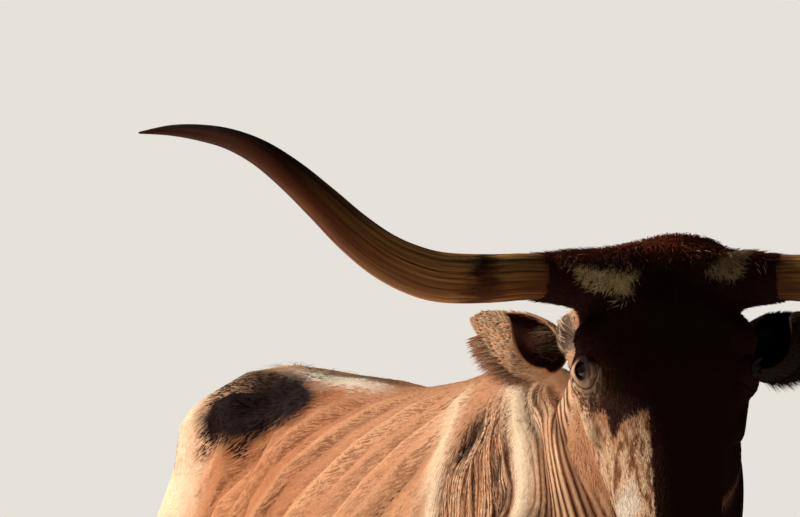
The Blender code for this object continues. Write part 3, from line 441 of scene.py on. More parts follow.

# Paths of the ridges down the shoulder and the neck, with painted highlights along them,
# and of the hollows between them, with painted shade in them.
SHOULDER_BAND = (
    (-0.094, -0.262, 1.360),
    (-0.125, -0.286, 1.319),
    (-0.147, -0.299, 1.279),
    (-0.173, -0.322, 1.217),
    (-0.190, -0.333, 1.150),
)
NECK_BAND = (
    (-0.071, -0.421, 1.377),
    (-0.116, -0.512, 1.328),
    (-0.144, -0.576, 1.282),
    (-0.167, -0.626, 1.225),
    (-0.195, -0.668, 1.160),
)
NECK_BAND_WIDTH = 0.022
UPPER_HOLLOW = ((-0.123, -0.385, 1.310), (-0.134, -0.378, 1.287), (-0.149, -0.374, 1.259))
MIDDLE_HOLLOW = ((-0.155, -0.530, 1.260), (-0.172, -0.542, 1.225))
LOWER_HOLLOW = ((-0.176, -0.582, 1.203), (-0.198, -0.602, 1.150))
RIDGES = (  # path, half width, height, tone and its share; the tone paints a highlight on a ridge and shade in a hollow
    (SHOULDER_BAND, 0.026, 0.006, CREAM, 0.70),
    (NECK_BAND, NECK_BAND_WIDTH, 0.006, CREAM, 0.90),
    (UPPER_HOLLOW, 0.020, -0.007, DARK, 1.00),
    (MIDDLE_HOLLOW, 0.015, -0.004, MAHOGANY, 0.90),
    (LOWER_HOLLOW, 0.014, -0.004, MAHOGANY, 0.85),
)
# Marks of the face in the head's frame, across it and along it. The face's dark mask is partly its dark coat
# and partly
# painted shadow: it ends on this line on the right side, and runs down to the muzzle from the last point on.
SHADOW_MASK_EDGE = (
    (-0.130, -0.150),
    (-0.118, -0.186),
    (-0.112, -0.208),
    (-0.095, -0.225),
    (-0.085, -0.262),
    (-0.071, -0.240),
    (-0.054, -0.244),
    (-0.037, -0.240),
    (-0.031, -0.600),
)
NEAR_WEDGE = (
    (-0.135, 0.004),
    (-0.097, -0.007),
    (-0.038, -0.012),
    (-0.047, -0.042),
    (-0.063, -0.072),
    (-0.080, -0.054),
    (-0.098, -0.034),
    (-0.119, -0.019),
)
FAR_WEDGE = ((0.059, -0.010), (0.086, 0.027), (0.122, 0.025), (0.106, -0.013), (0.085, -0.027))
WEDGES = ((1.0, NEAR_WEDGE), (0.7, FAR_WEDGE))  # the white marks on the forehead, laid in tan as white hair under painted shade, and how bright they are
NOSE_PATCH = ((-0.070, -0.366), (0.019, 0.042), 0.9)  # centre, half sizes, tone
# The painted shadow in the hollow before the right hip bone, laid as a dark patch: its outline across the
# view of the photo and up.
HIP_SHADOW_OUTLINE = (
    (-0.364, 1.428),
    (-0.307, 1.424),
    (-0.258, 1.408),
    (-0.233, 1.378),
    (-0.249, 1.336),
    (-0.311, 1.321),
    (-0.345, 1.300),
    (-0.364, 1.266),
    (-0.380, 1.268),
    (-0.400, 1.290),
    (-0.424, 1.290),
    (-0.449, 1.272),
    (-0.454, 1.348),
    (-0.416, 1.405),
)
PHOTO_RIGHT = (0.900, -0.435)  # the way to the photo's right, over the floor
PALE_PATCHES = (  # centre, radii
    ((0.000, 0.800, 1.180), (0.360, 0.340, 0.360)),  # rump
    ((-0.080, 0.780, 1.440), (0.140, 0.170, 0.050)),  # top of the hips
    ((0.000, 0.200, 0.600), (0.140, 0.600, 0.080)),  # belly
)


def between(t, a, b, c, d):
    """The value a share t of the way from b to c on a Catmull-Rom curve."""
    return 0.5 * (2 * b + (c - a) * t + (2 * a - 5 * b + 4 * c - d) * t * t + (3 * b - a - 3 * c + d) * t**3)


def spline(rows, steps):
    """The rows with `steps` rows for each gap, on a Catmull-Rom curve through every column."""
    ends = [list(rows[0]), *[list(row) for row in rows], list(rows[-1])]
    smooth = []
    for i in range(1, len(ends) - 2):
        for k in range(steps):
            t = k / steps
            smooth.append([between(t, *four) for four in zip(*ends[i - 1 : i + 3])])
    smooth.append(ends[-2])
    return smooth


def mesh_object(name, shape):
    """A mesh object made from a bmesh, with its normals pointing outwards."""
    bmesh.ops.recalc_face_normals(shape, faces=shape.faces)
    mesh = bpy.data.meshes.new(name)
    shape.to_mesh(mesh)
    shape.free()
    made = bpy.data.objects.new(name, mesh)
    bpy.context.scene.collection.objects.link(made)
    return made


def loft(name, rings, frame=Matrix.Identity(4)):
    """A closed skin through rings of points that have the same count."""
    shape = bmesh.new()
    loops = [[shape.verts.new(frame @ Vector(point)) for point in ring] for ring in rings]
    for one, two in zip(loops, loops[1:]):
        for i, corner in enumerate(one):
            j = (i + 1) % len(one)
            shape.faces.new((corner, one[j], two[j], two[i]))
    shape.faces.new(reversed(loops[0]))
    shape.faces.new(loops[-1])
    return mesh_object(name, shape)


def egg_ring(row, count):
    """A cross-section in a plane of constant Y, with its own roundness above and below its widest level."""
    along, top, bottom, half_width, widest, above, below = row
    ring = []
    for i in range(count):
        angle = 2 * math.pi * i / count
        across, up = math.cos(angle), math.sin(angle)
        power = 2 / (above if up > 0 else below)
        reach = top - widest if up > 0 else widest - bottom
        ring.append(
            (
                math.copysign(half_width * abs(across) ** power, across),
                along,
                widest + math.copysign(reach * abs(up) ** power, up),
            )
        )
    return ring


def barrel(name, rows, frame=Matrix.Identity(4), steps=4, count=28):
    return loft(name, [egg_ring(row, count) for row in spline(rows, steps)], frame)


def round_end(row, toward):
    """Smaller copies of an end section, each further out, that close a tube with a dome."""
    centre, out = Vector(row[:3]), Vector(row[:3]) - Vector(toward[:3])
    reach = out.normalized() * min(row[3], row[4])
    return [
        (*(centre + reach * math.sin(angle)), row[3] * math.cos(angle), row[4] * math.cos(angle))
        for angle in (math.radians(35), math.radians(62), math.radians(80))
    ]


def tube(name, stations, frame=Matrix.Identity(4), steps=3, count=18, side=Vector((1, 0, 0))):
    """A limb of oval section along a curve. A station is its centre, half width along `side`, half depth."""
    rows = spline([(*centre, width, depth) for centre, width, depth in stations], steps)
    rows = [*reversed(round_end(rows[0], rows[1])), *rows, *round_end(rows[-1], rows[-2])]
    centres = [Vector(row[:3]) for row in rows]
    rings = []
    for i, row in enumerate(rows):
        before, after = centres[max(i - 1, 0)], centres[min(i + 1, len(rows) - 1)]
        ahead = (after - before).normalized()
        across = (side - ahead * side.dot(ahead)).normalized()
        deep = ahead.cross(across)
        rings.append(
            [
                centres[i] + across * (row[3] * math.cos(a)) + deep * (row[4] * math.sin(a))
                for a in (2 * math.pi * k / count for k in range(count))
            ]
        )
    return loft(name, rings, frame)


def ball(name, centre, radii, lean=0, frame=Matrix.Identity(4), rings=12):
    """An ellipsoid that leans about the X axis."""
    shape = bmesh.new()
    bmesh.ops.create_uvsphere(shape, u_segments=2 * rings, v_segments=rings, radius=1)
    place = frame @ Matrix.Translation(centre) @ Matrix.Rotation(math.radians(lean), 4, "X")
    bmesh.ops.transform(shape, matrix=place @ Matrix.Diagonal((*radii, 1)), verts=shape.verts)
    return mesh_object(name, shape)


def evaluated(made):
    """The object with its modifiers applied."""
    graph = bpy.context.evaluated_depsgraph_get()
    mesh = bpy.data.meshes.new_from_object(made.evaluated_get(graph))
    made.modifiers.clear()
    old = made.data
    made.data = mesh
    bpy.data.meshes.remove(old)
    return made


def join(name, shapes):
    """The shapes as one object, whose bodies may overlap."""
    whole = bmesh.new()
    for shape in shapes:
        whole.from_mesh(shape.data)
        bpy.data.objects.remove(shape)
    return mesh_object(name, whole)


def relax(made, rounds, strength):
    """Evens out the skin, point by point towards its neighbours. `strength` gives 0 to 1 for each point."""
    mesh = made.data
    points = np.empty(3 * len(mesh.vertices))
    mesh.vertices.foreach_get("co", points)
    points = points.reshape(-1, 3)
    ends = np.empty(2 * len(mesh.edges), np.int64)
    mesh.edges.foreach_get("vertices", ends)
    one, two = ends[0::2], ends[1::2]
    count = np.bincount(ends, minlength=len(points))[:, None]
    share = RELAX_SHARE * strength(points)[:, None]
    for _ in range(rounds):
        total = np.zeros_like(points)
        for axis in range(3):
            total[:, axis] = np.bincount(one, points[two, axis], len(points))
            total[:, axis] += np.bincount(two, points[one, axis], len(points))
        points += share * (total / count - points)
    mesh.vertices.foreach_set("co", points.ravel())


def softness(points):
    """How far flesh runs together: most on the trunk, less on the legs and the head, least on the tail."""
    x, y, z = points.T
    limb = np.clip((z - 0.60) / 0.25, 0, 1)
    head = np.linalg.norm(points - np.array(HEAD_PLACE), axis=1)
    tail = rise(y, 0.93, 0.96) * rise(-np.abs(x), -0.05, -0.04) * rise(-z, -1.26, -1.20)
    return np.minimum(0.10 + 0.90 * limb, np.clip((head - 0.30) / 0.25, 0.05, 1)) * (1 - 0.98 * tail)


def mirrored(centre, side):
    return (centre[0] * side, centre[1], centre[2])


def stepped(centre, step):
    """A point of a limb, moved along with its foot. The move fades out towards the body."""
    x, y, z = centre
    return (x, y + step * min(1.0, 1.4 * max(0.0, 1 - z / LIMB_ROOT)), z)


def leg(name, rows, side, step):
    return tube(name, [(stepped((side * x, y, z), step), w, d) for x, y, z, w, d in rows])


def foot_place(rows, side, step):
    """The middle of a foot on the floor."""
    x, y, _ = rows[-1][:3]
    return Vector(stepped((side * x, y, 0.0), step))


def body_flesh():
    """The overlapping shapes of the trunk, neck, legs and tail root."""
    shapes = [barrel("trunk", TRUNK), tube("neck_core", NECK), tube("dewlap", DEWLAP)]
    shapes.append(tube("tail_root", TAIL[:4]))
    shapes.append(ball("brisket", *BRISKET))
    shapes.append(ball("sheath", *SHEATH))
    for word, side in SIDES.items():
        for kind, rows, step in LEGS:
            shapes.append(leg(kind, rows, side, step[word]))
            heel = foot_place(rows, side, step[word])
            for inner in (-1, 1):
                centre, radii = DEWCLAW
                shapes.append(ball("dewclaw", heel + Vector(mirrored(centre, inner)), radii))
        for centre, radii in BONES:
            shapes.append(ball("bone", mirrored(centre, side), radii))
        for muscle in MUSCLES:
            shift = HIND_STEP[word] if muscle is BACK_OF_THIGH else 0
            stations = [(stepped(mirrored(c, side), shift), w, d) for c, w, d in muscle]
            shapes.append(tube("muscle", stations))
    return shapes


def head_flesh():
    """The overlapping shapes of the head."""
    shapes = [barrel("skull", SKULL, HEAD_FRAME, steps=3)]
    shapes += [ball("poll_crest", centre, radii, frame=HEAD_FRAME) for centre, radii in POLL_CREST]
    for side in SIDES.values():
        for centre, radii in HEAD_FORMS:
            shapes.append(ball("head_form", mirrored(centre, side), radii, frame=HEAD_FRAME))
        bone = [(mirrored(c, side), w, d) for c, w, d in CHEEK_BONE]
        shapes.append(tube("cheek_bone", bone, HEAD_FRAME))
        boss = [(mirrored(c, side), w, d) for c, w, d in HORN_BOSS]
        shapes.append(tube("horn_boss", boss, POLL_FRAME, side=Vector((0, 1, 0))))
    return shapes


def pose(frame, side, place, ahead, up):
    """A frame at `place` with X ahead and Z near `up`, mirrored for the animal's right side."""
    x = ahead.normalized()
    z = (up - x * up.dot(x)).normalized()
    turn = Matrix((x, z.cross(x), z)).transposed().to_4x4()
    return frame @ Matrix.Diagonal((side, 1, 1, 1)) @ Matrix.Translation(place) @ turn


def ear_frame(side):
    return pose(POLL_FRAME, side, EAR_BASE, EAR_AXIS, EAR_OPENS)


def eye_frame(side):
    """X runs down the face along the lids, and Z is the way that the eye looks."""
    z = EYE_LOOK.normalized()
    down = Vector((0.0, -1.0, -0.35))
    return pose(HEAD_FRAME, side, EYE_PLACE, down - z * down.dot(z), z)


def ear_point(row, share):
    """A point of the cup's middle surface. `share` runs from its lower edge to its upper one, -1 to 1."""
    along, aside, radius, upper, lower, keel = row
    angle = math.radians(upper if share > 0 else lower) * share
    return Vector((along, aside + radius * math.sin(angle), keel + radius * (1 - math.cos(angle))))


def points_of(made):
    points = np.empty(3 * len(made.data.vertices))
    made.data.vertices.foreach_get("co", points)
    return points.reshape(-1, 3)


def normals_of(made):
    normals = np.empty(3 * len(made.data.vertices))
    made.data.vertices.foreach_get("normal", normals)
    return normals.reshape(-1, 3)


def put_points(made, points):
    made.data.vertices.foreach_set("co", points.ravel())
    made.data.update()


def within(points, frame):
    """The points in a frame's own coordinates."""
    inverse = np.array(frame.inverted())
    return points @ inverse[:3, :3].T + inverse[:3, 3]


def placed(points, frame):
    """Points given in a frame's own coordinates, in the frame of the whole animal."""
    turn = np.array(frame)
    return points @ turn[:3, :3].T + turn[:3, 3]


def rise(value, low, high):
    """0 below low and 1 above high, with a smooth step between them."""
    t = np.clip((value - low) / (high - low), 0, 1)
    return t * t * (3 - 2 * t)


def unit(vectors):
    return vectors / np.maximum(np.linalg.norm(vectors, axis=-1, keepdims=True), 1e-9)


def grain(points, size, seed=0):
    """Smooth noise from -1 to 1 over cells of that size, one for all axes or one for each."""
    scaled = points / np.asarray(size) + 17.3 * seed
    cell = np.floor(scaled).astype(np.int64)
    part = scaled - cell
    part = part * part * (3 - 2 * part)
    total = np.zeros(len(points))
    for corner in itertools.product((0, 1), repeat=3):
        key = (cell + corner) @ np.array((73856093, 19349663, 83492791))
        key = ((key ^ (key >> 13)) * 1274126177) & 0x7FFFFFFF
        value = ((key ^ (key >> 16)) & 0xFFFF) / 32767.5 - 1
        total += value * np.prod(np.where(corner, part, 1 - part), axis=1)
    return total


def past_head(points):
    """How far points lie outside the head, behind the poll and the jaw. It is negative on the head."""
    local = within(points, POLL_FRAME)
    far = [(local - np.array(place)) @ np.array(out) for place, out in HEAD_CUTS]
    return np.maximum(*far)


def past_neck(points):
    """How far points lie behind the cut between the neck and the torso."""
    place, out = NECK_CUT
    return (points - np.array(place)) @ np.array(out)


def ball_reach(points, centre, radii):
    """How far points lie from the middle of an ellipsoid, 1 at its skin."""
    return np.linalg.norm((points - np.array(centre)) / np.array(radii), axis=1)


def inside(outline, u, v):
    """How deep points of a plane lie inside an outline. It is negative outside."""
    nearest, odd = np.full(len(u), 9.0), np.zeros(len(u), bool)
    for (u1, v1), (u2, v2) in zip(outline, outline[1:] + outline[:1]):
        run_u, run_v = u2 - u1, v2 - v1
        t = np.clip(((u - u1) * run_u + (v - v1) * run_v) / (run_u**2 + run_v**2), 0, 1)
        nearest = np.minimum(nearest, np.hypot(u - u1 - t * run_u, v - v1 - t * run_v))
        odd ^= ((v1 > v) != (v2 > v)) & (u - u1 < run_u * (v - v1) / (run_v or 1.0))
    return np.where(odd, nearest, -nearest)


def path_reach(points, path):
    """How far points lie from a path on the right side, or from its mirror image on the left."""
    mirror = np.column_stack([-np.abs(points[:, 0]), points[:, 1], points[:, 2]])
    nearest = np.full(len(points), 9.0)
    for one, two in zip(path, path[1:]):
        start, run = np.array(one), np.array(two) - np.array(one)
        t = np.clip(((mirror - start) @ run) / (run @ run), 0, 1)
        nearest = np.minimum(nearest, np.linalg.norm(mirror - start - t[:, None] * run, axis=1))
    return nearest


def on_path(points, path, half_width):
    """1 on a path, falling to 0 on either side of it."""
    return np.exp(-((path_reach(points, path) / half_width) ** 2))


def eye_rings(points):
    """Distance from the nearer eye's middle, longer along the lids, and how far a point lies down from it."""
    nearest = np.full(len(points), 9.0)
    below = np.zeros(len(points))
    for side in SIDES.values():
        local = within(points, eye_frame(side))
        reach = np.linalg.norm(local * (0.78, 1.0, 0.6), axis=1)
        closer = reach < nearest
        nearest = np.where(closer, reach, nearest)
        below = np.where(closer, local[:, 0], below)
    return nearest, below


def leather_share(points):
    """1 on the bare skin of the muzzle, 0 on the hair."""
    _, y, z = within(points, HEAD_FRAME).T
    pad = rise(-y, 0.470, 0.492) * rise(z, -0.108, -0.098)
    lips = rise(-y, 0.495, 0.512)
    return np.maximum(pad, lips) * (past_head(points) < 0)


def coat_and_painted_light(points):
    """The colour of the coat at each point, for the skin and for the hair rooted in it, with its painted
    shade, shadow and highlights.
    """
    x, y, z = points.T
    ragged = 0.16 * grain(points, 0.022, 1) + 0.10 * grain(points, 0.009, 2)
    shade = grain(points, 0.16, 3)
    colour = ORANGE * (1 + 0.16 * shade + 0.08 * grain(points, 0.05, 4))[:, None]

    def lay(tone, share):
        nonlocal colour
        colour = colour + (np.asarray(tone) - colour) * np.clip(share, 0, 1)[:, None]

    # Painted shade down in the flank's folds and painted highlights on their crests.
    waves, share = flank_waves(points)[1:]
    lay(BROWN, 0.55 * share * rise(-waves, 0.0, 0.9))
    lay(PALE, 0.45 * share * rise(waves, 0.1, 1.0))
    neck = neck_share(points)
    crest = np.sin(2 * math.pi * fold_line(points))
    hung = neck_waves(points)[1]
    lay(RUST, 0.25 * neck)
    # Painted highlights on the crests of the neck's folds, and painted shade down in their creases and
    # hollows.
    lay(PALE, 0.45 * neck * rise(hung, -0.2, 0.6))
    patchy = 0.80 + 0.50 * grain(points, (0.05, 0.05, 0.11), 75)
    lay((PALE + CREAM) / 2, 0.85 * neck * patchy * rise(crest, 0.0, 1.0))
    lay(BROWN * 0.6, 0.65 * neck * patchy * rise(-crest, 0.2, 0.9))
    lay(PALE, 0.30 * rise(-y, -0.20, 0.05) * (1 - neck))
    lay(BROWN * 0.35, 0.75 * neck * rise(-hung, 0.25, 0.95))
    # Painted highlights along the ridges and painted shade in the hollows.
    for path, half_width, _, tone, strength in RIDGES:
        lay(tone, strength * on_path(points, path, half_width))
    for centre, radii in PALE_PATCHES:
        lay(CREAM, 0.70 * (1 - rise(ball_reach(points, centre, radii) + 0.3 * ragged, 0.70, 1.10)))
    lay(PALE, 0.45 * rise(0.55 - z, 0.0, 0.30) * (np.abs(x) > 0.05))
    back = rise(y, 0.06, 0.18) * rise(-y, -0.62, -0.50) * rise(z, 1.33, 1.37)
    lay(WHITE, 0.85 * back * (1 - rise(np.abs(x + 0.047) + 0.10 * ragged, 0.018, 0.032)))
    # Painted shade on the white hair over the spine, laid as grey.
    lay(WHITE_IN_SHADE, 0.85 * back * (1 - rise(np.abs(x + 0.008) + 0.08 * ragged, 0.016, 0.026)))
    # Painted shadow on the right hip: near black inside its outline, with a soft brown edge round it.
    photo_right = x * PHOTO_RIGHT[0] + y * PHOTO_RIGHT[1]
    deep = inside(HIP_SHADOW_OUTLINE, photo_right, z)
    lay(BROWN, 0.7 * rise(deep + 0.03 * ragged, -0.022, -0.004) * (x < -0.03))
    lay(DARK, rise(deep + 0.03 * ragged, -0.010, 0.005) * (x < -0.03))
    lay(DARK * 3, 0.8 * rise(0.115 - z, 0.0, 0.02))

    head = past_head(points)
    across, along, up = within(points, HEAD_FRAME).T
    on_head = rise(-head, -0.01, 0.02)
    # The dark mask: painted shadow over the face's dark coat, over the front down to its edge and over the
    # middle and far side of the head, where the lids stay dark too.
    lowest = np.interp(across, *zip(*SHADOW_MASK_EDGE))
    front = rise(up + 0.3 * ragged, -0.075, -0.045)
    shadowed_front = front * rise(along - lowest + 0.05 * ragged, -0.003, 0.005)
    shadowed_far_side = rise(across, -0.034, -0.026)
    lay(MAHOGANY, on_head * np.maximum(shadowed_front, shadowed_far_side))
    # Painted shadow on the far side of the neck behind the jaw.
    lay(MAHOGANY, rise(across, -0.07, -0.03) * rise(-y, 0.36, 0.52) * rise(head, -0.01, 0.01))
    on_face = np.column_stack([across, along, up])
    clumps = 0.8 * grain(on_face, (0.004, 0.011, 0.012), 77) + 0.5 * grain(on_face, (0.007, 0.024, 0.03), 80)
    # Painted highlights and shade on the hair clumps of the lit near cheek.
    lit = on_head * rise(lowest - along, 0.0, 0.02) * (across < -0.028) * rise(-along, 0.10, 0.14)
    lay((PALE + CREAM) / 2, 0.75 * lit * rise(-clumps, -0.5, 0.3))
    lay(BROWN * 0.8, 0.85 * lit * rise(clumps, 0.10, 0.50))
    root = on_head * rise(-across, 0.100, 0.112) * rise(along, -0.110, -0.080) * rise(-up, 0.045, 0.070)
    lay(CREAM, 0.6 * root)
    lay(MAHOGANY, 0.85 * root * rise(grain(on_face, (0.005, 0.030, 0.005), 78), -0.1, 0.3))
    lay(POLL_RED, 0.9 * on_head * rise(along, 0.000, 0.035) * rise(up, -0.06, 0.0))
    lay(DARK * 1.6, 0.7 * on_head * rise(-along, 0.42, 0.48))
    lay(CREAM, 0.55 * on_head * rise(-along, 0.33, 0.42) * rise(-up, 0.06, 0.11) * (across < 0))
    # The white marks of the forehead, darkened to tan by painted shade.
    for tone, outline in WEDGES:
        deep = inside(outline, across, along)
        lay(TAN * tone, on_head * rise(deep + 0.045 * ragged, -0.003, 0.005) * (up > -0.03))
    (middle, level), (half_x, half_y), tone = NOSE_PATCH
    reach = np.hypot((across - middle) / half_x, (along - level) / half_y)
    lay(WHITE * tone, 0.75 * on_head * (1 - rise(reach + 2.6 * ragged, 0.50, 1.25)) * (up > -0.10))
    reach, below = eye_rings(points)
    round_eye = reach + 0.055 * ragged + 0.016 * rise(-below, -0.004, 0.014)
    streaks = 0.45 + 0.50 * rise(grain(on_face, (0.004, 0.010, 0.010), 79), -0.4, 0.3)
    lay(LID_SKIN, streaks * on_head * (across < 0) * (1 - rise(round_eye, 0.024, 0.040)))
    crease, creased = eye_crease(points)
    # Painted shade down in the creases round the near eye.
    lay(BROWN * 0.5, 0.85 * on_head * (across < 0) * creased * rise(-crease, 0.1, 0.8))
    lay(DARK * 1.5, on_head * (1 - rise(reach, 0.0166, 0.0178)))
    lay(LEATHER, leather_share(points))
    return np.clip(colour, 0, 1)


def fan(points):
    """The angle and the distance of points about the withers, from which folds fan out down the side."""
    _, y, z = points.T
    ahead, below = y - WITHERS[0], WITHERS[1] - z
    turn = np.arctan2(ahead, below) + 1.3 * rise(-y, 0.50, 0.75) * (z - 1.25)
    return turn, np.hypot(ahead, below)


def fan_grain(turn, reach, x, size, seed):
    """Noise that is drawn out along the folds of a fan, and differs from side to side."""
    return grain(np.column_stack([turn, reach, 0.3 * np.sign(x)]), (*size, 1.0), seed)


def flank_waves(points):
    """Folds that hang down and back over the ribs: their height, a wave from -1 to 1 that places their
    painted shade and highlights, and their share.
    """
    x, y, z = points.T
    low = np.maximum(z - 1.25, -0.20)
    run = y + 1.1 * low + 2.0 * low**2 + FOLD_SHIFT
    place = np.column_stack([0.3 * np.sign(x), y, z])
    bend = 0.6 * grain(place, (1.0, 0.26, 0.22), 51) + 0.25 * grain(place, (1.0, 0.10, 0.09), 52)
    (broad_run, broad_rise), (medium_run, medium_rise), (narrow_run, narrow_rise) = FLANK_FOLDS
    broad = np.cos(2 * math.pi * run / broad_run + bend)
    medium = np.sin(2 * math.pi * run / medium_run + 1.9 * bend + 0.8)
    narrow = np.sin(2 * math.pi * run / narrow_run + 3.0 * bend)
    strength = 0.85 + 0.35 * grain(place, (1.0, 0.16, 0.12), 53)
    share = rise(np.abs(x), 0.03, 0.10) * rise(z, 0.66, 0.90) * rise(-z, -1.40, -1.34)
    share = share * rise(-y, -0.68, -0.46) * rise(y, -0.34, -0.18)
    height = strength * (broad_rise * broad + medium_rise * medium + narrow_rise * narrow) - 0.002
    return share * height, strength * (0.55 * broad + 0.40 * medium + 0.15 * narrow), share


def neck_share(points):
    """1 where the hide hangs in fine folds, on the neck and before the shoulder."""
    x, _, z = points.T
    turn, reach = fan(points)
    share = rise(past_head(points), -0.01, 0.025) * (1 - rise(turn, -0.30, 0.10)) * rise(reach, 0.10, 0.22)
    share = share * rise(z, 0.60, 0.85) * rise(np.abs(x), 0.03, 0.07)
    return share * (1 - 0.9 * on_path(points, NECK_BAND, NECK_BAND_WIDTH))


def neck_waves(points):
    """Folds that hang down the neck and the shoulder: their height, and the wave of the broad ones, which
    also places their painted shade and highlights.
    """
    turn, reach = fan(points)
    x = points[:, 0]
    bend = fan_grain(turn, reach, x, (0.10, 0.14), 71) + 0.4 * fan_grain(turn, reach, x, (0.05, 0.06), 72)
    (broad_turn, broad_rise), (narrow_turn, narrow_rise) = NECK_FOLDS
    broad = np.sin(2 * math.pi * turn / broad_turn + 1.5 * bend + 0.6)
    narrow = np.sin(2 * math.pi * turn / narrow_turn + 1.8 * bend)
    strength = 0.75 + 0.45 * fan_grain(turn, reach, x, (0.12, 0.12), 73)
    height = broad_rise * (broad - 0.3 * broad**2) + narrow_rise * (narrow - 0.3 * narrow**2)
    height = height * (1 - 0.55 * rise(-points[:, 1], 0.58, 0.70))
    return neck_share(points) * strength * height, strength * broad


def fold_line(points):
    """A number that rises by one from each of the finest creases of the neck to the next."""
    turn, reach = fan(points)
    return turn / CREASE + 0.5 * fan_grain(turn, reach, points[:, 0], (0.08, 0.12), 74)


def painted_crease_shade(points):
    """How much of its colour a tuft keeps under the painted shade down in the creases of the neck."""
    crease = np.clip(-np.sin(2 * math.pi * fold_line(points)), 0, 1) ** 1.5
    patchy = np.clip(0.70 + 0.6 * grain(points, (0.04, 0.04, 0.09), 76), 0, 1.1)
    return 1 - CREASE_SHADE * crease * patchy * neck_share(points)


def sunk(made):
    """Presses the hollows of a lean animal into both sides of the flesh."""
    points = points_of(made)
    for centre, radii, depth in HOLLOWS:
        mirror = np.column_stack([np.abs(points[:, 0]), points[:, 1], points[:, 2]])
        reach = ball_reach(mirror, centre, radii)
        points[:, 0] -= np.sign(points[:, 0]) * depth * (1 - rise(reach, 0.0, 1.0))
    put_points(made, points)


def ridges(points):
    """The height of the lone ridges of hide and of the hollow lines between them."""
    total = np.zeros(len(points))
    for path, half_width, height, _, _ in RIDGES:
        total += height * on_path(points, path, half_width)
    return total


def eye_crease(points):
    """A wave of creases round the eyes, and where they are."""
    reach, below = eye_rings(points)
    share = rise(reach, 0.0172, 0.0190) * (1 - rise(reach, 0.040, 0.056))
    share = share * (0.3 + 0.7 * rise(below, -0.01, 0.015))
    return np.sin(2 * math.pi * reach / EYE_CREASE[0] + 3.6 * grain(points, 0.013, 31)), share


def eye_folds(points):
    """How far the creases of the lids and of the skin round them rise and sink."""
    crease, share = eye_crease(points)
    from_eye = np.full(len(points), 9.0)
    for side in SIDES.values():
        from_eye = np.minimum(from_eye, np.linalg.norm(within(points, eye_frame(side)), axis=1))
    return share * rise(from_eye, EYE_RADIUS + 0.0018, EYE_RADIUS + 0.0034) * EYE_CREASE[1] * crease


def refine(made, inside):
    """Divides the faces whose corners all lie inside a region, and evens out the new points."""
    shape = bmesh.new()
    shape.from_mesh(made.data)
    chosen = inside(points_of(made))
    shape.verts.ensure_lookup_table()
    edges = [edge for edge in shape.edges if chosen[edge.verts[0].index] and chosen[edge.verts[1].index]]
    bmesh.ops.subdivide_edges(shape, edges=edges, cuts=1, use_grid_fill=True)
    bmesh.ops.triangulate(shape, faces=[face for face in shape.faces if len(face.verts) > 4])
    shape.to_mesh(made.data)
    shape.free()
    relax(made, 4, lambda points: inside(points).astype(float))


def cut(made, cutter, operation="DIFFERENCE"):
    """The object cut by, or joined to, another one, which is then removed."""
    step = made.modifiers.new("cut", "BOOLEAN")
    step.operation = operation
    step.object = cutter
    step.solver = "MANIFOLD"
    evaluated(made)
    bpy.data.objects.remove(cutter)
    return made


def eye_opening(frame, half_length, half_height):
    """The prism that opens the lids, with pointed corners."""
    outline = []
    for k in range(28):
        angle = 2 * math.pi * k / 28
        tall = math.sin(angle)
        outline.append((half_length * math.cos(angle), half_height * tall * abs(tall) ** 0.35))
    return loft("opening", [[(x, y, z) for x, y in outline] for z in (0.004, 0.060)], frame)


def mouth_slit():
    """A thin wedge that runs round the lips from one corner of the mouth to the other."""
    path = [*MOUTH_LINE, MOUTH_FRONT, *[mirrored(point, -1) for point in reversed(MOUTH_LINE)]]
    path = [Vector(row) for row in spline([tuple(Vector(point)) for point in path], 4)]
    rings = []
    for i, point in enumerate(path):
        ahead = (path[min(i + 1, len(path) - 1)] - path[max(i - 1, 0)]).normalized()
        out = ahead.cross(Vector((0, 0, 1))).normalized()
        out = out if out.dot(point - Vector((0, MOUTH_MIDDLE, point.z))) > 0 else -out
        inner, outer = point - out * MOUTH_DEPTH, point + out * MOUTH_REACH
        rise_in, rise_out = Vector((0, 0, MOUTH_GAP * 0.2)), Vector((0, 0, MOUTH_GAP))
        rings.append([inner + rise_in, outer + rise_out, outer - rise_out, inner - rise_in])
    return loft("mouth", rings, HEAD_FRAME)


def fill_cut(shape, parts, place, slope, inner=False):
    """Cuts parts of a bmesh on a plane, clears its outer or its inner side, and closes the hole."""
    found = bmesh.ops.bisect_plane(
        shape, geom=parts, plane_co=place, plane_no=slope, clear_inner=inner, clear_outer=not inner
    )
    rim = [piece for piece in found["geom_cut"] if isinstance(piece, bmesh.types.BMEdge)]
    bmesh.ops.holes_fill(shape, edges=rim)


def cut_at_coronets(skin):
    """Ends the hide of each leg just above its hooves, on the sloping plane of the coronet."""
    level, slope = CORONET
    shape = bmesh.new()
    shape.from_mesh(skin.data)
    for word, side in SIDES.items():
        for _, rows, step in LEGS:
            place = foot_place(rows, side, step[word])
            near = []
            for face in shape.faces:
                middle = face.calc_center_median()
                if middle.z < FOOT_HEIGHT and (middle.xy - place.xy).length < FOOT_REACH:
                    near.append(face)
            edges = dict.fromkeys(edge for face in near for edge in face.edges)
            corners = dict.fromkeys(corner for face in near for corner in face.verts)
            parts = [*near, *edges, *corners]
            fill_cut(shape, parts, place + Vector((0, 0, level + SEAM)), slope, inner=True)
    bmesh.ops.triangulate(shape, faces=[face for face in shape.faces if len(face.verts) > 4])
    shape.to_mesh(skin.data)
    shape.free()


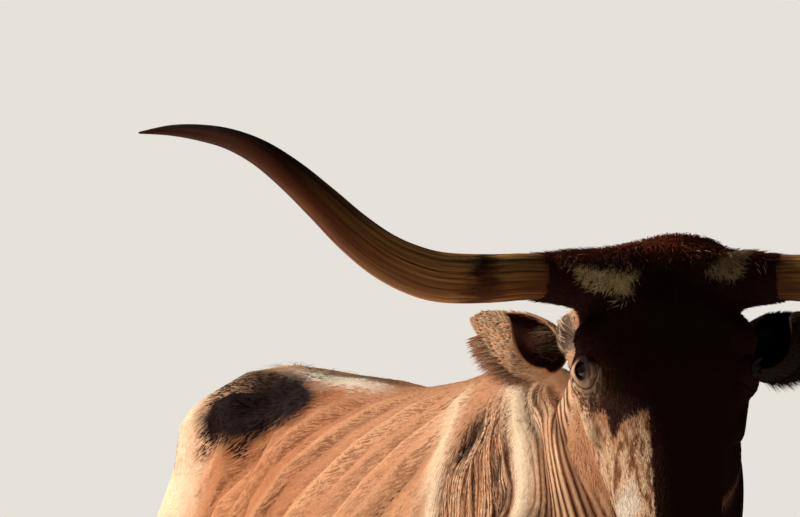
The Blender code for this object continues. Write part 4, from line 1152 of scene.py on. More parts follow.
def open_face(skin):
    """Raises the lids, and cuts the openings of the eyes, the nostrils and the mouth."""
    for side in SIDES.values():
        socket = eye_frame(side)
        lids = ball("lids", (0, 0, 0), (EYE_RADIUS + LID_THICKNESS,) * 3, frame=socket, rings=44)
        cut(skin, lids, "UNION")
        hollow = ball("socket", (0, 0, 0), (EYE_RADIUS + SEAM,) * 3, frame=socket, rings=28)
        cut(skin, cut(hollow, eye_opening(socket, *EYE_OPENING), "UNION"))
        slant = Matrix.Rotation(NOSTRIL_TURN, 4, "Z") @ Matrix.Rotation(NOSTRIL_ROLL, 4, "X")
        nostril = HEAD_FRAME @ Matrix.Diagonal((side, 1, 1, 1)) @ Matrix.Translation(NOSTRIL[0]) @ slant
        cut(skin, ball("nostril", (0, 0, 0), NOSTRIL[1], frame=nostril, rings=14))
    cut(skin, mouth_slit())


def thin_out(skin):
    """Thins the skin to its number of triangles, most over the trunk and the legs and least on the head."""
    group = skin.vertex_groups.new(name="body")
    points = points_of(skin)
    share = rise(past_head(points), -0.02, 0.06) * (0.25 + 0.75 * rise(points[:, 1], -0.45, -0.25))
    for level in range(11):
        chosen = np.nonzero(np.round(share * 10) == level)[0].tolist()
        group.add(chosen, level / 10, "REPLACE")
    skin.data.calc_loop_triangles()
    thin = skin.modifiers.new("thin", "DECIMATE")
    thin.ratio = min(1.0, SKIN_TRIANGLES / len(skin.data.loop_triangles))
    thin.vertex_group = "body"
    evaluated(skin)
    skin.vertex_groups.clear()


def make_skin():
    """One skin for the head, neck, trunk, legs and tail, inside the CAD's flesh by the depth of the coat."""
    tail = tube("tail", TAIL, steps=4, count=16)
    skin = join("hide", [*body_flesh(), *head_flesh(), tail])
    remesh = skin.modifiers.new("fuse", "REMESH")
    remesh.mode = "VOXEL"
    remesh.voxel_size = SKIN_CELL
    evaluated(skin)
    relax(skin, round(RELAX_ROUNDS * (RELAX_CELL / SKIN_CELL) ** 2), softness)
    sunk(skin)
    points, normals = points_of(skin), normals_of(skin)
    depth = np.where(past_head(points) < 0, FACE_DEPTH, COAT_DEPTH)
    height = flank_waves(points)[0] + neck_waves(points)[0] + ridges(points) - depth
    put_points(skin, points + normals * height[:, None])
    refine(skin, lambda points: eye_rings(points)[0] < FINE_EYE)
    refine(skin, lambda points: within(points, HEAD_FRAME)[:, 1] < FINE_MUZZLE)
    refine(skin, lambda points: eye_rings(points)[0] < FINEST_EYE)
    open_face(skin)
    points, normals = points_of(skin), normals_of(skin)
    put_points(skin, points + normals * eye_folds(points)[:, None])
    thin_out(skin)
    cut_at_coronets(skin)
    points = points_of(skin)
    give(skin, "coat", coat_and_painted_light(points) * SKIN_TONE)
    give(skin, "leather", leather_share(points))
    give(skin, "fold_line", fold_line(points))
    give(skin, "fold_share", neck_share(points))
    skin.data.shade_smooth()
    return skin


def give(made, name, values):
    """Stores a number or a colour for each point of a mesh."""
    values = np.asarray(values, np.float32)
    kind, field = "FLOAT", "value"
    if values.ndim == 2:
        kind, field = "FLOAT_COLOR", "color"
        values = np.column_stack([values, np.ones(len(values), np.float32)])
    layer = made.data.attributes.new(name, kind, "POINT")
    layer.data.foreach_set(field, values.ravel())


def mesh_of(name, points, faces):
    """A mesh object from an array of points and one of triangles."""
    mesh = bpy.data.meshes.new(name)
    mesh.vertices.add(len(points))
    mesh.vertices.foreach_set("co", np.asarray(points, np.float32).ravel())
    mesh.loops.add(3 * len(faces))
    mesh.loops.foreach_set("vertex_index", np.asarray(faces, np.int32).ravel())
    mesh.polygons.add(len(faces))
    mesh.polygons.foreach_set("loop_start", np.arange(0, 3 * len(faces), 3, dtype=np.int32))
    mesh.update(calc_edges=True)
    made = bpy.data.objects.new(name, mesh)
    bpy.context.scene.collection.objects.link(made)
    return made


def bake_map(made, faces, places):
    """The map that a bake paints on: `places` holds each point's place on the square."""
    layer = made.data.uv_layers.new(name="OFBake")
    layer.data.foreach_set("uv", np.asarray(places, np.float32)[np.asarray(faces).ravel()].ravel())


def settled(tree, points, heights):
    """The points moved to given heights over the skin, and the skin's normals there."""
    places, normals = np.empty_like(points), np.empty_like(points)
    for i, point in enumerate(points.tolist()):
        places[i], normals[i], _, _ = tree.find_nearest(point)
    return places + normals * heights[:, None], normals


def tufts(name, tree, roots, normals, lies, length, width, lift, ridge, colour, unwrapped):
    """Short flat tufts of hair, each a closed sliver that keeps to the hide and lifts a little at its tip."""
    draw = np.random.default_rng(7)
    count = len(roots)
    length = length * draw.uniform(0.75, 1.25, count)
    width = width * draw.uniform(0.75, 1.3, count)
    lift = lift * draw.uniform(0.3, 1.4, count)
    across = unit(np.cross(lies, normals))
    sway = draw.uniform(-0.10, 0.10, count)[:, None] * across
    wide = across * (width / 2)[:, None]
    halfway = roots + (lies + 0.4 * sway) * (0.42 * length)[:, None]
    middle, over = settled(tree, halfway, np.full(count, TUFT_CLEAR))
    corners = np.empty((count, 5, 3))
    corners[:, 0] = roots - normals * TUFT_SINK
    corners[:, 1] = middle - wide
    corners[:, 2] = middle + wide
    corners[:, 3] = middle + over * ridge
    corners[:, 4], _ = settled(tree, roots + (lies + sway) * length[:, None], lift)
    faces = (TUFT_FACES[None] + 5 * np.arange(count)[:, None, None]).reshape(-1, 3)
    made = mesh_of(name, corners.reshape(-1, 3), faces)
    made.data.shade_flat()
    tone = colour * (draw.normal(1.0, 0.035, count).clip(0.88, 1.12) * painted_crease_shade(roots))[:, None]
    tones = tone[:, None, :] * TUFT_SHADE[None, :, None]
    give(made, "coat", tones.reshape(-1, 3).clip(0, 1))
    places = unwrapped[:, None, :] + TUFT_PATCH[None]
    bake_map(made, faces, places.reshape(-1, 2))
    return made


def squared(u, v, low=0.004, high=0.996):
    """Two coordinates stretched to fill the square of a map."""
    sides = []
    for value in (u, v):
        span = max(value.max() - value.min(), 1e-6)
        sides.append(low + (high - low) * (value - value.min()) / span)
    return np.column_stack(sides)


def spread(skin, weight, count, seed):
    """Roots set evenly over the skin, closer together where `weight` is greater: their places and normals."""
    skin.data.calc_loop_triangles()
    corners = np.empty(3 * len(skin.data.loop_triangles), np.int32)
    skin.data.loop_triangles.foreach_get("vertices", corners)
    corners = corners.reshape(-1, 3)
    points, normals = points_of(skin), normals_of(skin)
    one, two, three = (points[corners[:, k]] for k in range(3))
    area = np.linalg.norm(np.cross(two - one, three - one), axis=1) / 2
    share = np.cumsum(area * weight((one + two + three) / 3))
    draw = np.random.default_rng(seed)
    marks = (np.arange(count) + draw.random(count)) / count * share[-1]
    chosen = corners[np.minimum(np.searchsorted(share, marks), len(corners) - 1)]
    first, second = draw.random(count), draw.random(count)
    over = first + second > 1
    first, second = np.where(over, 1 - first, first), np.where(over, 1 - second, second)
    mix = np.stack([1 - first - second, first, second], axis=1)[:, :, None]
    return (points[chosen] * mix).sum(axis=1), unit((normals[chosen] * mix).sum(axis=1))


def lie_of(points, normals):
    """The way the hair runs: back along the trunk, down the neck and legs, and from a whorl over the face."""
    x, y, z = points.T
    trunk = np.column_stack([np.zeros_like(x), np.ones_like(x), -0.42 - 0.25 * rise(np.abs(x), 0.1, 0.3)])
    down = np.column_stack([0.05 * np.sign(x), np.full_like(x, 0.12), np.full_like(x, -1.0)])
    low = rise(0.93 - z, 0.0, 0.22) * rise(np.abs(x), 0.06, 0.11)
    tail = rise(y, 0.90, 0.94) * (np.abs(x) < 0.06)
    way = trunk + (down - trunk) * np.maximum(low, tail)[:, None]
    here, step = fold_line(points), 0.002
    slope = np.column_stack([fold_line(points + np.eye(3)[k] * step) - here for k in range(3)])
    crease = np.cross(normals, unit(slope))
    crease *= -np.sign(crease[:, 2:])
    neck = neck_share(points)
    way = way + (2 * crease - way) * neck[:, None]
    across, along, _ = within(points, HEAD_FRAME).T
    above = rise(along, -0.155, -0.085)
    face = np.column_stack([3.0 * across * (0.4 + above), -1 + 1.5 * above, -0.25 * (1 - above)])
    curl = 0.9 * above * grain(points, 0.035, 41)
    face = face + np.column_stack([curl, np.zeros_like(curl), curl])
    face = face @ np.array(HEAD_FRAME.to_3x3()).T
    head = rise(-past_head(points), -0.02, 0.03)
    way = way + (face - way) * head[:, None]
    swirl = 0.30 * grain(points, 0.10, 42) * (1 - 0.8 * neck)
    way = way + np.cross(way, normals) * swirl[:, None]
    return unit(way - normals * (way * normals).sum(axis=1)[:, None])


def coat_weight(points):
    """How close together the tufts stand: closest on the head and the side that the light rakes."""
    x, _, z = points.T
    weight = 1.0 + 1.1 * rise(-past_neck(points), -0.15, 0.0) + 0.25 * rise(-x, 0.05, 0.2)
    weight = np.where(past_head(points) < 0.0, 3.1, weight) * (1 - 0.8 * leather_share(points))
    return np.where((eye_rings(points)[0] < LIDS_BARE) | (z < CORONET[0]), 0.0, weight)


def regions_of(points):
    """The pieces that the short coat is made in, each with the points that belong to it."""
    x, y, z = points.T
    head = past_head(points) < 0.0
    neck = ~head & (past_neck(points) < 0)
    limb = ~head & ~neck & (z < 0.88) & (np.abs(x) > 0.055)
    fore_limb, hind_limb = limb & (y < 0.0), limb & (y > 0.34)
    body = ~(head | neck | fore_limb | hind_limb)
    fore, rear = y < 0.02, y > 0.46
    regions = {"head": head, "neck": neck, "forelegs": fore_limb, "hind_legs": hind_limb}
    for word, part in (("shoulders", fore), ("barrel", ~fore & ~rear), ("rump", rear)):
        regions[f"{word}_right"] = body & part & (x < 0)
        regions[f"{word}_left"] = body & part & (x >= 0)
    return regions


def coat_pieces(skin, tree):
    """The short coat, in pieces that each stand for one region of the hide."""
    roots, normals = spread(skin, coat_weight, COAT_TUFTS, 5)
    keep = (leather_share(roots) < 0.5) & (eye_rings(roots)[0] > LIDS_BARE) & (roots[:, 2] > COAT_LOWEST)
    roots, normals = roots[keep], normals[keep]
    pieces = []
    for region, chosen in regions_of(roots).items():
        where = np.nonzero(chosen)[0]
        if len(where) > MOST_TUFTS:
            where = where[np.linspace(0, len(where) - 1, MOST_TUFTS).astype(int)]
        place, normal = roots[where], normals[where]
        x, y, z = place.T
        ridge = 0.00012
        if region == "head":
            across, along, up = within(place, HEAD_FRAME).T
            length = 0.0085 + 0.0055 * rise(along, -0.30, -0.05) - 0.003 * rise(-along, 0.38, 0.46)
            width = 0.0020 + 0.0009 * rise(along, -0.30, -0.05)
            rough = rise(grain(place, 0.012, 81), 0.0, 0.6) * (across < -0.03)
            lift = 0.0008 + 0.0020 * rise(along, -0.20, 0.0) + 0.0020 * rough
            ridge = 0.0003
            unwrapped = squared(np.arctan2(across, up + 0.10), along)
        elif region in ("forelegs", "hind_legs"):
            length, width, lift = 0.0125 + 0.004 * rise(z, 0.4, 0.8), 0.0023, 0.0010
            _, middles, heights, _, _ = np.array(FORELEG if region == "forelegs" else HIND_LEG)[::-1].T
            angle = np.arctan2(x - np.sign(x) * 0.165, y - np.interp(z, heights, middles))
            unwrapped = squared(angle, z)
            unwrapped[:, 0] = unwrapped[:, 0] * 0.49 + np.where(x > 0, 0.505, 0.005)
        elif region == "neck":
            length, width, lift = 0.020, 0.0018, 0.0004
            unwrapped = squared(np.arctan2(x + 0.06, -(y + 0.75)), z)
        else:
            length = 0.024 + 0.006 * rise(0.70 - z, 0.0, 0.1) * (np.abs(x) < 0.10)
            width, lift = 0.0021, 0.0004 + 0.0010 * rise(normal[:, 2], 0.55, 0.90)
            unwrapped = squared(np.arctan2(x, z - 1.0), y)
        hair = (lie_of(place, normal), length, width, lift, ridge, coat_and_painted_light(place), unwrapped)
        pieces.append(tufts(f"coat_{region}", tree, place, normal, *hair))
    return pieces


def locks(name, spines, normals, width, thick, tones, unwrapped, bulge=0.5, tip_tone=1.25):
    """Closed, flat, tapered locks along spines, an array of locks by points by three."""
    count, rings, _ = spines.shape
    ahead = np.empty_like(spines)
    ahead[:, 1:-1] = spines[:, 2:] - spines[:, :-2]
    ahead[:, 0] = spines[:, 1] - spines[:, 0]
    ahead[:, -1] = spines[:, -1] - spines[:, -2]
    ahead = unit(ahead)
    across = unit(np.cross(ahead, normals))
    up = np.cross(across, ahead)
    share = np.linspace(0, 1, rings)
    outline = 0.55 + bulge * np.sin(math.pi * share**0.8) - 0.53 * share
    wide = outline[None, :, None] * width[:, None, None] / 2
    deep = (1 - 0.9 * share)[None, :, None] * thick[:, None, None] / 2
    right, left = spines + across * wide - up * deep, spines - across * wide - up * deep
    corners = np.stack([right, spines + up * deep, left], 2).reshape(count, 3 * rings, 3)
    tips = spines[:, -1] + ahead[:, -1] * width[:, None] * 0.6
    corners = np.concatenate([corners, tips[:, None]], axis=1)
    faces = [(0, 2, 1)]
    for ring in range(rings - 1):
        for k in range(3):
            a, b = 3 * ring + k, 3 * ring + (k + 1) % 3
            faces += [(a, b, b + 3), (a, b + 3, a + 3)]
    last = 3 * (rings - 1)
    faces += [(last + k, last + (k + 1) % 3, 3 * rings) for k in range(3)]
    every = (np.array(faces)[None] + (3 * rings + 1) * np.arange(count)[:, None, None]).reshape(-1, 3)
    made = mesh_of(name, corners.reshape(-1, 3), every)
    fade = np.append(np.repeat(0.62 + (tip_tone - 0.62) * share, 3), tip_tone)
    give(made, "coat", (tones[:, None, :] * fade[None, :, None]).reshape(-1, 3).clip(0, 1))
    layer = np.append(np.repeat(share, 3), 1.0)
    turn = np.append(np.tile((-1.0, 0.0, 1.0), rings), 0.0)
    places = unwrapped[:, None] + 0.0014 * np.column_stack([turn, 2 * layer - 1])[None]
    bake_map(made, every, places.reshape(-1, 2))
    return outward(made)


def outward(made):
    """The object with every face pointing out of its own closed body."""
    shape = bmesh.new()
    shape.from_mesh(made.data)
    bmesh.ops.recalc_face_normals(shape, faces=shape.faces)
    shape.to_mesh(made.data)
    shape.free()
    return made


def run_over(tree, root, way, length, lift, sway):
    """A path that leaves a surface at a sunk root, keeps to its lie and lifts at the tip, and its normals."""
    place, normal, _, _ = tree.find_nearest(root)
    spine, normals = [], []
    for k in range(LOCK_RINGS):
        t = k / (LOCK_RINGS - 1)
        way = (way - normal * way.dot(normal)).normalized()
        spine.append(place + normal * (-LOCK_SINK + (LOCK_SINK + lift) * (1 - (1 - t) ** 2)))
        normals.append(normal.copy())
        way = Matrix.Rotation(sway, 3, normal) @ way
        place, normal, _, _ = tree.find_nearest(place + way * (length / (LOCK_RINGS - 1)))
    return spine, normals


def poll_hair(tree):
    """The thick tuft on the poll: it stands along the crest and falls over the forehead and the horns."""
    draw = random.Random(11)
    frame_turn = HEAD_FRAME.to_3x3()
    hairs = []
    for _ in range(POLL_LOCKS):
        share = draw.uniform(-1, 1)
        along = draw.triangular(-0.075, 0.075, 0.03)
        reach = 0.150 if along > 0.0 else 0.125
        root = HEAD_FRAME @ Vector((share * reach, along, 0.06 - 0.9 * max(0.0, along - 0.035)))
        fall = -1.0 if along < 0.048 else 0.7
        lie = frame_turn @ Vector((1.3 * share + draw.uniform(-0.45, 0.45), fall, 0.0))
        crest = math.exp(-(((along - 0.035) / 0.03) ** 2))
        length = draw.uniform(0.013, 0.024) + 0.004 * crest
        lift = draw.uniform(0.001, 0.004) + 0.004 * crest * draw.random()
        path, ups = run_over(tree, root, lie, length, lift, draw.uniform(-0.25, 0.25))
        hairs.append((path, ups, draw.uniform(0.0018, 0.0031), (share, along)))
    spines, normals, sizes, flat = (np.array(each) for each in zip(*hairs))
    varied = np.random.default_rng(2).normal(1.0, 0.16, len(sizes)).clip(0.6, 1.5)
    tones = coat_and_painted_light(spines[:, 0]) * varied[:, None]
    light = (np.random.default_rng(3).random(len(sizes)) < 0.02) & (flat[:, 1] > 0.0)
    tones[light] = TAN
    return locks("poll_hair", spines, normals, sizes, sizes * 0.30, tones, squared(*flat.T))


def back_wisps(tree):
    """Stray hairs along the spine over the hips."""
    draw = random.Random(8)
    hairs = []
    for _ in range(BACK_WISPS):
        y = draw.triangular(0.35, 0.80, 0.60)
        x = draw.uniform(-0.08, 0.03)
        way = Vector((draw.uniform(-0.4, 0.4), draw.uniform(0.4, 1.0), 0))
        length, lift, sway = draw.uniform(0.030, 0.050), draw.uniform(0.002, 0.010), draw.uniform(-0.5, 0.5)
        path, ups = run_over(tree, Vector((x, y, OVER_BACK)), way, length, lift, sway)
        hairs.append((path, ups, draw.uniform(0.0008, 0.0014), (x, y)))
    spines, normals, sizes, flat = (np.array(each) for each in zip(*hairs))
    return locks("back_wisps", spines, normals, sizes, sizes * 0.4, coat_and_painted_light(spines[:, 0]), squared(*flat.T))


def make_horn(word, side):
    """A horn with its long fibres and low rings, closed at both ends."""
    rows = spline(HORN, HORN_RINGS)
    rows = [row for row in rows if row[0] > HORN_BASE + SEAM]
    rows.insert(0, [HORN_BASE + SEAM, *rows[0][1:]])
    count = 40
    rings, stations = [], []
    for i, row in enumerate(rows):
        before, after = rows[max(i - 1, 0)], rows[min(i + 1, len(rows) - 1)]
        ahead = Vector((after[0] - before[0], -(after[1] - before[1]), after[2] - before[2])).normalized()
        across = (Vector((0, 1, 0)) - ahead * ahead.y).normalized()
        deep = ahead.cross(across)
        centre = Vector((row[0], -row[1], row[2]))
        share = (row[0] - HORN_BASE) / (HORN[-1][0] - HORN_BASE)
        for k in range(count):
            angle = 2 * math.pi * k / count
            fibre = math.sin(5 * angle + 2 * math.sin(9 * share)) + 0.6 * math.sin(11 * angle + 4 * share)
            ripple = math.exp(-share / 0.09) * math.sin(row[0] * 620 + 0.8 * math.sin(angle))
            radius = row[3] * (1 + (0.006 * fibre + 0.012 * ripple) * (1 - share))
            rings.append(centre + (across * math.cos(angle) + deep * math.sin(angle)) * radius)
            stations.append((share, angle / (2 * math.pi)))
    frame_place = POLL_FRAME @ Matrix.Diagonal((side, 1, 1, 1))
    points = [frame_place @ point for point in rings]
    faces = []
    last = len(points) - count
    for i in range(len(rows) - 1):
        for k in range(count):
            a, b = i * count + k, i * count + (k + 1) % count
            faces += [(a, b, b + count), (a, b + count, a + count)]
    faces += [(0, k + 1, k) for k in range(1, count - 1)]
    faces += [(last, last + k, last + k + 1) for k in range(1, count - 1)]
    made = mesh_of(f"horn_surface_{word}", points, faces)
    along, turn = np.array(stations).T
    give(made, "along", along)
    give(made, "turn", turn)
    made.data.shade_smooth()
    return outward(made)


def make_eye(word, side):
    """An eyeball with a bulging cornea. `off_axis` gives the angle from its pupil."""
    place = eye_frame(side)
    made = ball(f"eyeball_{word}", (0, 0, 0), (EYE_RADIUS,) * 3, frame=place, rings=28)
    local = within(points_of(made), place)
    angle = np.arccos(np.clip(local[:, 2] / EYE_RADIUS, -1, 1))
    local *= (1 + 0.045 * np.exp(-((angle / 0.50) ** 4)))[:, None]
    put_points(made, placed(local, place))
    give(made, "off_axis", angle)
    give(made, "across_pupil", local[:, 0] / EYE_RADIUS)
    give(made, "up_pupil", local[:, 1] / EYE_RADIUS)
    made.data.shade_smooth()
    return made


def ear_grid(across, steps, shift):
    """Points of the ear's wall, moved by `shift` through its thickness: a grid along it and across it."""
    rows = spline(EAR, steps)
    grid = np.array([[ear_point(row, 2 * k / (across - 1) - 1) for k in range(across)] for row in rows])
    normals = unit(np.cross(np.gradient(grid, axis=0), np.gradient(grid, axis=1)))
    normals *= np.sign(normals[:, across // 2, 2].mean())
    return grid + normals * shift


def make_ear(word, side):
    """The ear's cup as a thin closed wall."""
    across, steps = 41, 6
    inner, outer = (ear_grid(across, steps, shift) for shift in (EAR_WALL * 0.32, -EAR_WALL * 0.32))
    rows = inner.shape[0]
    points = np.concatenate([inner.reshape(-1, 3), outer.reshape(-1, 3)])
    faces = []
    half = rows * across
    for i in range(rows - 1):
        for k in range(across - 1):
            a, b = i * across + k, i * across + k + 1
            c, d = b + across, a + across
            faces += [(a, b, c), (a, c, d)]
            faces += [(half + a, half + c, half + b), (half + a, half + d, half + c)]
    rim = [i * across for i in range(rows)]
    rim += [(rows - 1) * across + k for k in range(1, across)]
    rim += [i * across + across - 1 for i in range(rows - 2, -1, -1)]
    rim += [k for k in range(across - 2, 0, -1)]
    for a, b in zip(rim, rim[1:] + rim[:1]):
        faces += [(a, half + a, half + b), (a, half + b, b)]
    made = outward(mesh_of(f"ear_skin_{word}", placed(points, ear_frame(side)), faces))
    tones = np.repeat((ORANGE[None] + PALE[None]) / 2, len(points), axis=0)
    tones[:half] = EAR_CUP_SHADE
    # The far ear is darkened as painted shadow.
    give(made, "coat", tones * EAR_SHADE[word])
    give(made, "leather", np.zeros(len(points)))
    made.data.shade_smooth()
    return made


def ear_hair(word, side):
    """Hair of an ear: short on its back, a soft rim, long pale locks in its mouth and a fringe below."""
    draw = np.random.default_rng(21)
    place_of = ear_frame(side)
    rows = spline(EAR, 8)
    columns = np.array(rows)
    hairs = []

    def add(share, row_at, face, way, length, lift, tone):
        """One lock rooted at a share of the way across a row, on the inner (1) or outer (-1) face."""
        row = rows[min(int(row_at), len(rows) - 1)]
        length *= 1.0 - 0.7 * max(0.0, row[0] - 0.10) / 0.072
        root = ear_point(row, share)
        near = ear_point(row, share + (0.02 if share < 0.9 else -0.02)) - root
        near = near * (1 if share < 0.9 else -1)
        normal = Vector((1, 0, 0)).cross(near).normalized() * face
        way = (way - normal * way.dot(normal)).normalized()
        path = []
        for k in range(LOCK_RINGS):
            t = k / (LOCK_RINGS - 1)
            place = root + way * (length * t)
            if face < 0 and lift < 0.005:
                here = [np.interp(place.x, columns[:, 0], column) for column in columns.T]
                flared = ear_point(here, share)
                place += normal * max(0.0, (flared - root).dot(normal))
            path.append(place + normal * (0.0006 + 0.0018 * min(1.0, 3 * t) + lift * t * t))
        hairs.append((path, [normal] * LOCK_RINGS, tone, (share * 0.5 + (0 if face > 0 else 2.2), row[0])))

    last = len(rows) - 1
    for _ in range(EAR_HAIRS):  # the short coat of the outer face, paler towards its lower edge as painted highlight of the lit lower lobe
        share, row_at = draw.uniform(-1, 1), draw.uniform(0.0, 1.0) * last
        way = Vector((1.0, draw.uniform(-0.3, 0.3), 0))
        tone = (0.2 * ORANGE + 0.8 * PALE) * draw.uniform(0.75, 1.25)
        tone = tone + (CREAM - tone) * (0.3 + 0.7 * max(0.0, -share)) * draw.random()
        add(share, row_at, -1, way, draw.uniform(0.010, 0.017), draw.uniform(0.000, 0.002), tone)
    for _ in range(EAR_HAIRS // 3):  # the short coat of the inner face, painted dark as the shadow in the cup
        share, row_at = draw.uniform(-1, 1), draw.uniform(0.20, 1.0) * last
        way = Vector((1.0, draw.uniform(-0.4, 0.4), 0))
        tone = MAHOGANY + (ORANGE - MAHOGANY) * 0.5 * abs(share) ** 8
        add(share, row_at, 1, way, draw.uniform(0.009, 0.016), draw.uniform(0.001, 0.003), tone)
    for _ in range(EAR_HAIRS // 3):  # the rims
        edge = 1 if draw.random() < 0.5 else -1
        share = draw.uniform(0.82, 0.995) * edge
        way = Vector((1.0, draw.uniform(0.1, 0.7) * edge, 0))
        tone = ORANGE + (CREAM - ORANGE) * draw.uniform(0.0, 0.6)
        face = 1 if draw.random() < 0.6 else -1
        add(share, draw.uniform(0.10, 1.0) * last, face, way, draw.uniform(0.008, 0.014), 0.001, tone)
    for _ in range(EAR_HAIRS // 3):  # the fringe under the lower fold
        share = draw.uniform(-0.62, -0.30)
        way = Vector((draw.uniform(0.5, 1.3), -0.6, 0))
        tone = ORANGE + (CREAM - ORANGE) * draw.uniform(0.0, 0.6)
        row_at = draw.uniform(0.12, 0.74) * last
        add(share, row_at, -1, way, draw.uniform(0.018, 0.034), draw.uniform(0.008, 0.022), tone)
    for _ in range(EAR_HAIRS // 8):  # pale locks over the base of the opening
        share, row_at = draw.uniform(0.20, 0.95), draw.uniform(0.02, 0.16) * last
        way = Vector((1.0, -0.7 * share + draw.uniform(-0.25, 0.25), 0))
        tone = (CREAM if draw.random() < 0.4 else ORANGE * 0.5) * draw.uniform(0.6, 1.05)
        add(share, row_at, 1, way, draw.uniform(0.025, 0.045), draw.uniform(0.006, 0.022), tone)
    spines, normals, tones, flat = (np.array(each) for each in zip(*hairs))
    normals = normals @ np.array(place_of)[:3, :3].T
    sizes = EAR_LOCK * draw.uniform(0.7, 1.3, len(hairs))
    # The far ear's hair is darkened as painted shadow.
    tones = tones.clip(0, 1) * EAR_SHADE[word]
    spines = placed(spines, place_of)
    return locks(f"ear_hair_{word}", spines, normals, sizes, sizes * 0.3, tones, squared(*flat.T))


def tail_hair():
    """The switch: long hair in thin locks that leave the dock all round and hang to a point."""
    draw = np.random.default_rng(31)
    count = SWITCH_LOCKS
    angle = draw.uniform(0, 2 * math.pi, count)
    top = draw.uniform(0.56, 0.735, count)
    low = np.clip(0.43 - 0.6 * (0.69 - top) + draw.normal(0, 0.02, count), 0.338, 0.5)
    spread_out = draw.uniform(0.25, 1.0, count) ** 0.6 * (0.022 + 0.20 * (top - 0.50).clip(0, 0.15))
    t = np.linspace(0, 1, SWITCH_RINGS)
    radius = 0.012 + spread_out[:, None] * np.sin(math.pi * t**0.6)[None] * 0.9 + 0.006 * t[None]
    radius *= 1 - 0.55 * t[None] ** 2
    twist = angle[:, None] + draw.normal(0, 0.35, count)[:, None] * t[None]
    waves = 0.0025 * np.sin(7 * t[None] + draw.uniform(0, 6, count)[:, None])
    spines = np.empty((count, SWITCH_RINGS, 3))
    spines[..., 0] = (radius + waves) * np.cos(twist)
    spines[..., 1] = TAIL[-1][0][1] + (radius + waves) * np.sin(twist)
    spines[..., 2] = top[:, None] + (low - top)[:, None] * t[None]
    normals = np.stack([np.cos(twist), np.sin(twist), np.zeros_like(twist)], axis=-1)
    tones = MAHOGANY[None] * draw.uniform(0.8, 2.2, count)[:, None] + ORANGE[None] * 0.08
    sizes = draw.uniform(0.004, 0.008, count)
    return locks("switch_hair", spines, normals, sizes, sizes * 0.35, tones, squared(angle, top), bulge=0.4)


def make_claw(name, place, side):
    """One half of a cloven hoof, with growth rings, rounded edges and a sloping coronet."""
    rings, count = [], 32
    for i, (height, toe, heel, half_width) in enumerate(spline(CLAW, 7)):
        under = 0.985 if i == 0 else 1.0
        ring_mark = 0.00045 * math.sin(height * 900)
        ring = []
        for k in range(count):
            angle = 2 * math.pi * k / count
            across = math.cos(angle)
            reach = (toe if math.sin(angle) < 0 else heel) * under + ring_mark
            squareness = 0.85 if across * side > 0 else 0.55
            x = math.copysign((half_width * under + ring_mark) * abs(across) ** squareness, across)
            ring.append(place + Vector((x + side * CLAW_PLACE, reach * math.sin(angle), height)))
        rings.append(ring)
    claw = loft(name, rings)
    level, slope = CORONET
    shape = bmesh.new()
    shape.from_mesh(claw.data)
    fill_cut(shape, [*shape.verts, *shape.edges, *shape.faces], place + Vector((0, 0, level - SEAM)), slope)
    shape.to_mesh(claw.data)
    shape.free()
    claw.data.shade_smooth()
    return claw


def material(name, slot_rough, specular=0.3, sheen=0.0):
    """A new material with its shader, ready for nodes that give its colour and relief."""
    made = bpy.data.materials.new(name)
    made.use_nodes = True
    shader = made.node_tree.nodes["Principled BSDF"]
    shader.inputs["Roughness"].default_value = slot_rough
    shader.inputs["Specular IOR Level"].default_value = specular
    shader.inputs["Sheen Weight"].default_value = sheen
    shader.inputs["Sheen Roughness"].default_value = 0.45
    shader.inputs["Sheen Tint"].default_value = (1.0, 0.78, 0.60, 1)
    return made, shader


def plug(tree, socket, value):
    """Feeds an input from the output of another node, or sets it to a value."""
    if isinstance(value, bpy.types.NodeSocket):
        tree.links.new(value, socket)
    else:
        socket.default_value = value


def node(tree, kind, **inputs):
    """A node with some of its inputs set or linked. Underscores stand for spaces, and i2 for input 2."""
    made = tree.nodes.new(kind)
    for word, value in inputs.items():
        numbered = word[0] == "i" and word[1:].isdigit()
        plug(tree, made.inputs[int(word[1:]) if numbered else word.replace("_", " ")], value)
    return made


def attribute(tree, name, output="Color"):
    made = tree.nodes.new("ShaderNodeAttribute")
    made.attribute_name = name
    return made.outputs[output]


def object_place(tree):
    return tree.nodes.new("ShaderNodeTexCoord").outputs["Object"]


def noise(tree, scale, detail=3.0, stretch=(1, 1, 1), rough=0.55, place=None):
    """Noise on `place`, or on Object coordinates, finer along the axes that are stretched more."""
    place = object_place(tree) if place is None else place
    spot = node(tree, "ShaderNodeMapping", Vector=place, Scale=stretch).outputs[0]
    made = node(tree, "ShaderNodeTexNoise", Vector=spot, Scale=scale, Detail=detail, Roughness=rough)
    return made.outputs["Fac"]


def maths(tree, operation, one, two=0.0):
    made = node(tree, "ShaderNodeMath", i0=one, i1=two)
    made.operation = operation
    return made.outputs[0]


def stretched(tree, value, low, high, to_low, to_high):
    """The range from low to high of a value, moved to run from to_low to to_high."""
    ends = {"From_Min": low, "From_Max": high, "To_Min": to_low, "To_Max": to_high}
    return node(tree, "ShaderNodeMapRange", Value=value, **ends).outputs[0]


def mixed(tree, share, one, two, blend="MIX"):
    made = tree.nodes.new("ShaderNodeMix")
    made.data_type = "RGBA"
    made.blend_type = blend
    for place, value in (("Factor", share), (6, one), (7, two)):
        plug(tree, made.inputs[place], value)
    return made.outputs[2]


def bump(tree, shader, height, distance, strength=1.0):
    made = node(tree, "ShaderNodeBump", Height=height, Distance=distance, Strength=strength)
    tree.links.new(made.outputs[0], shader.inputs["Normal"])


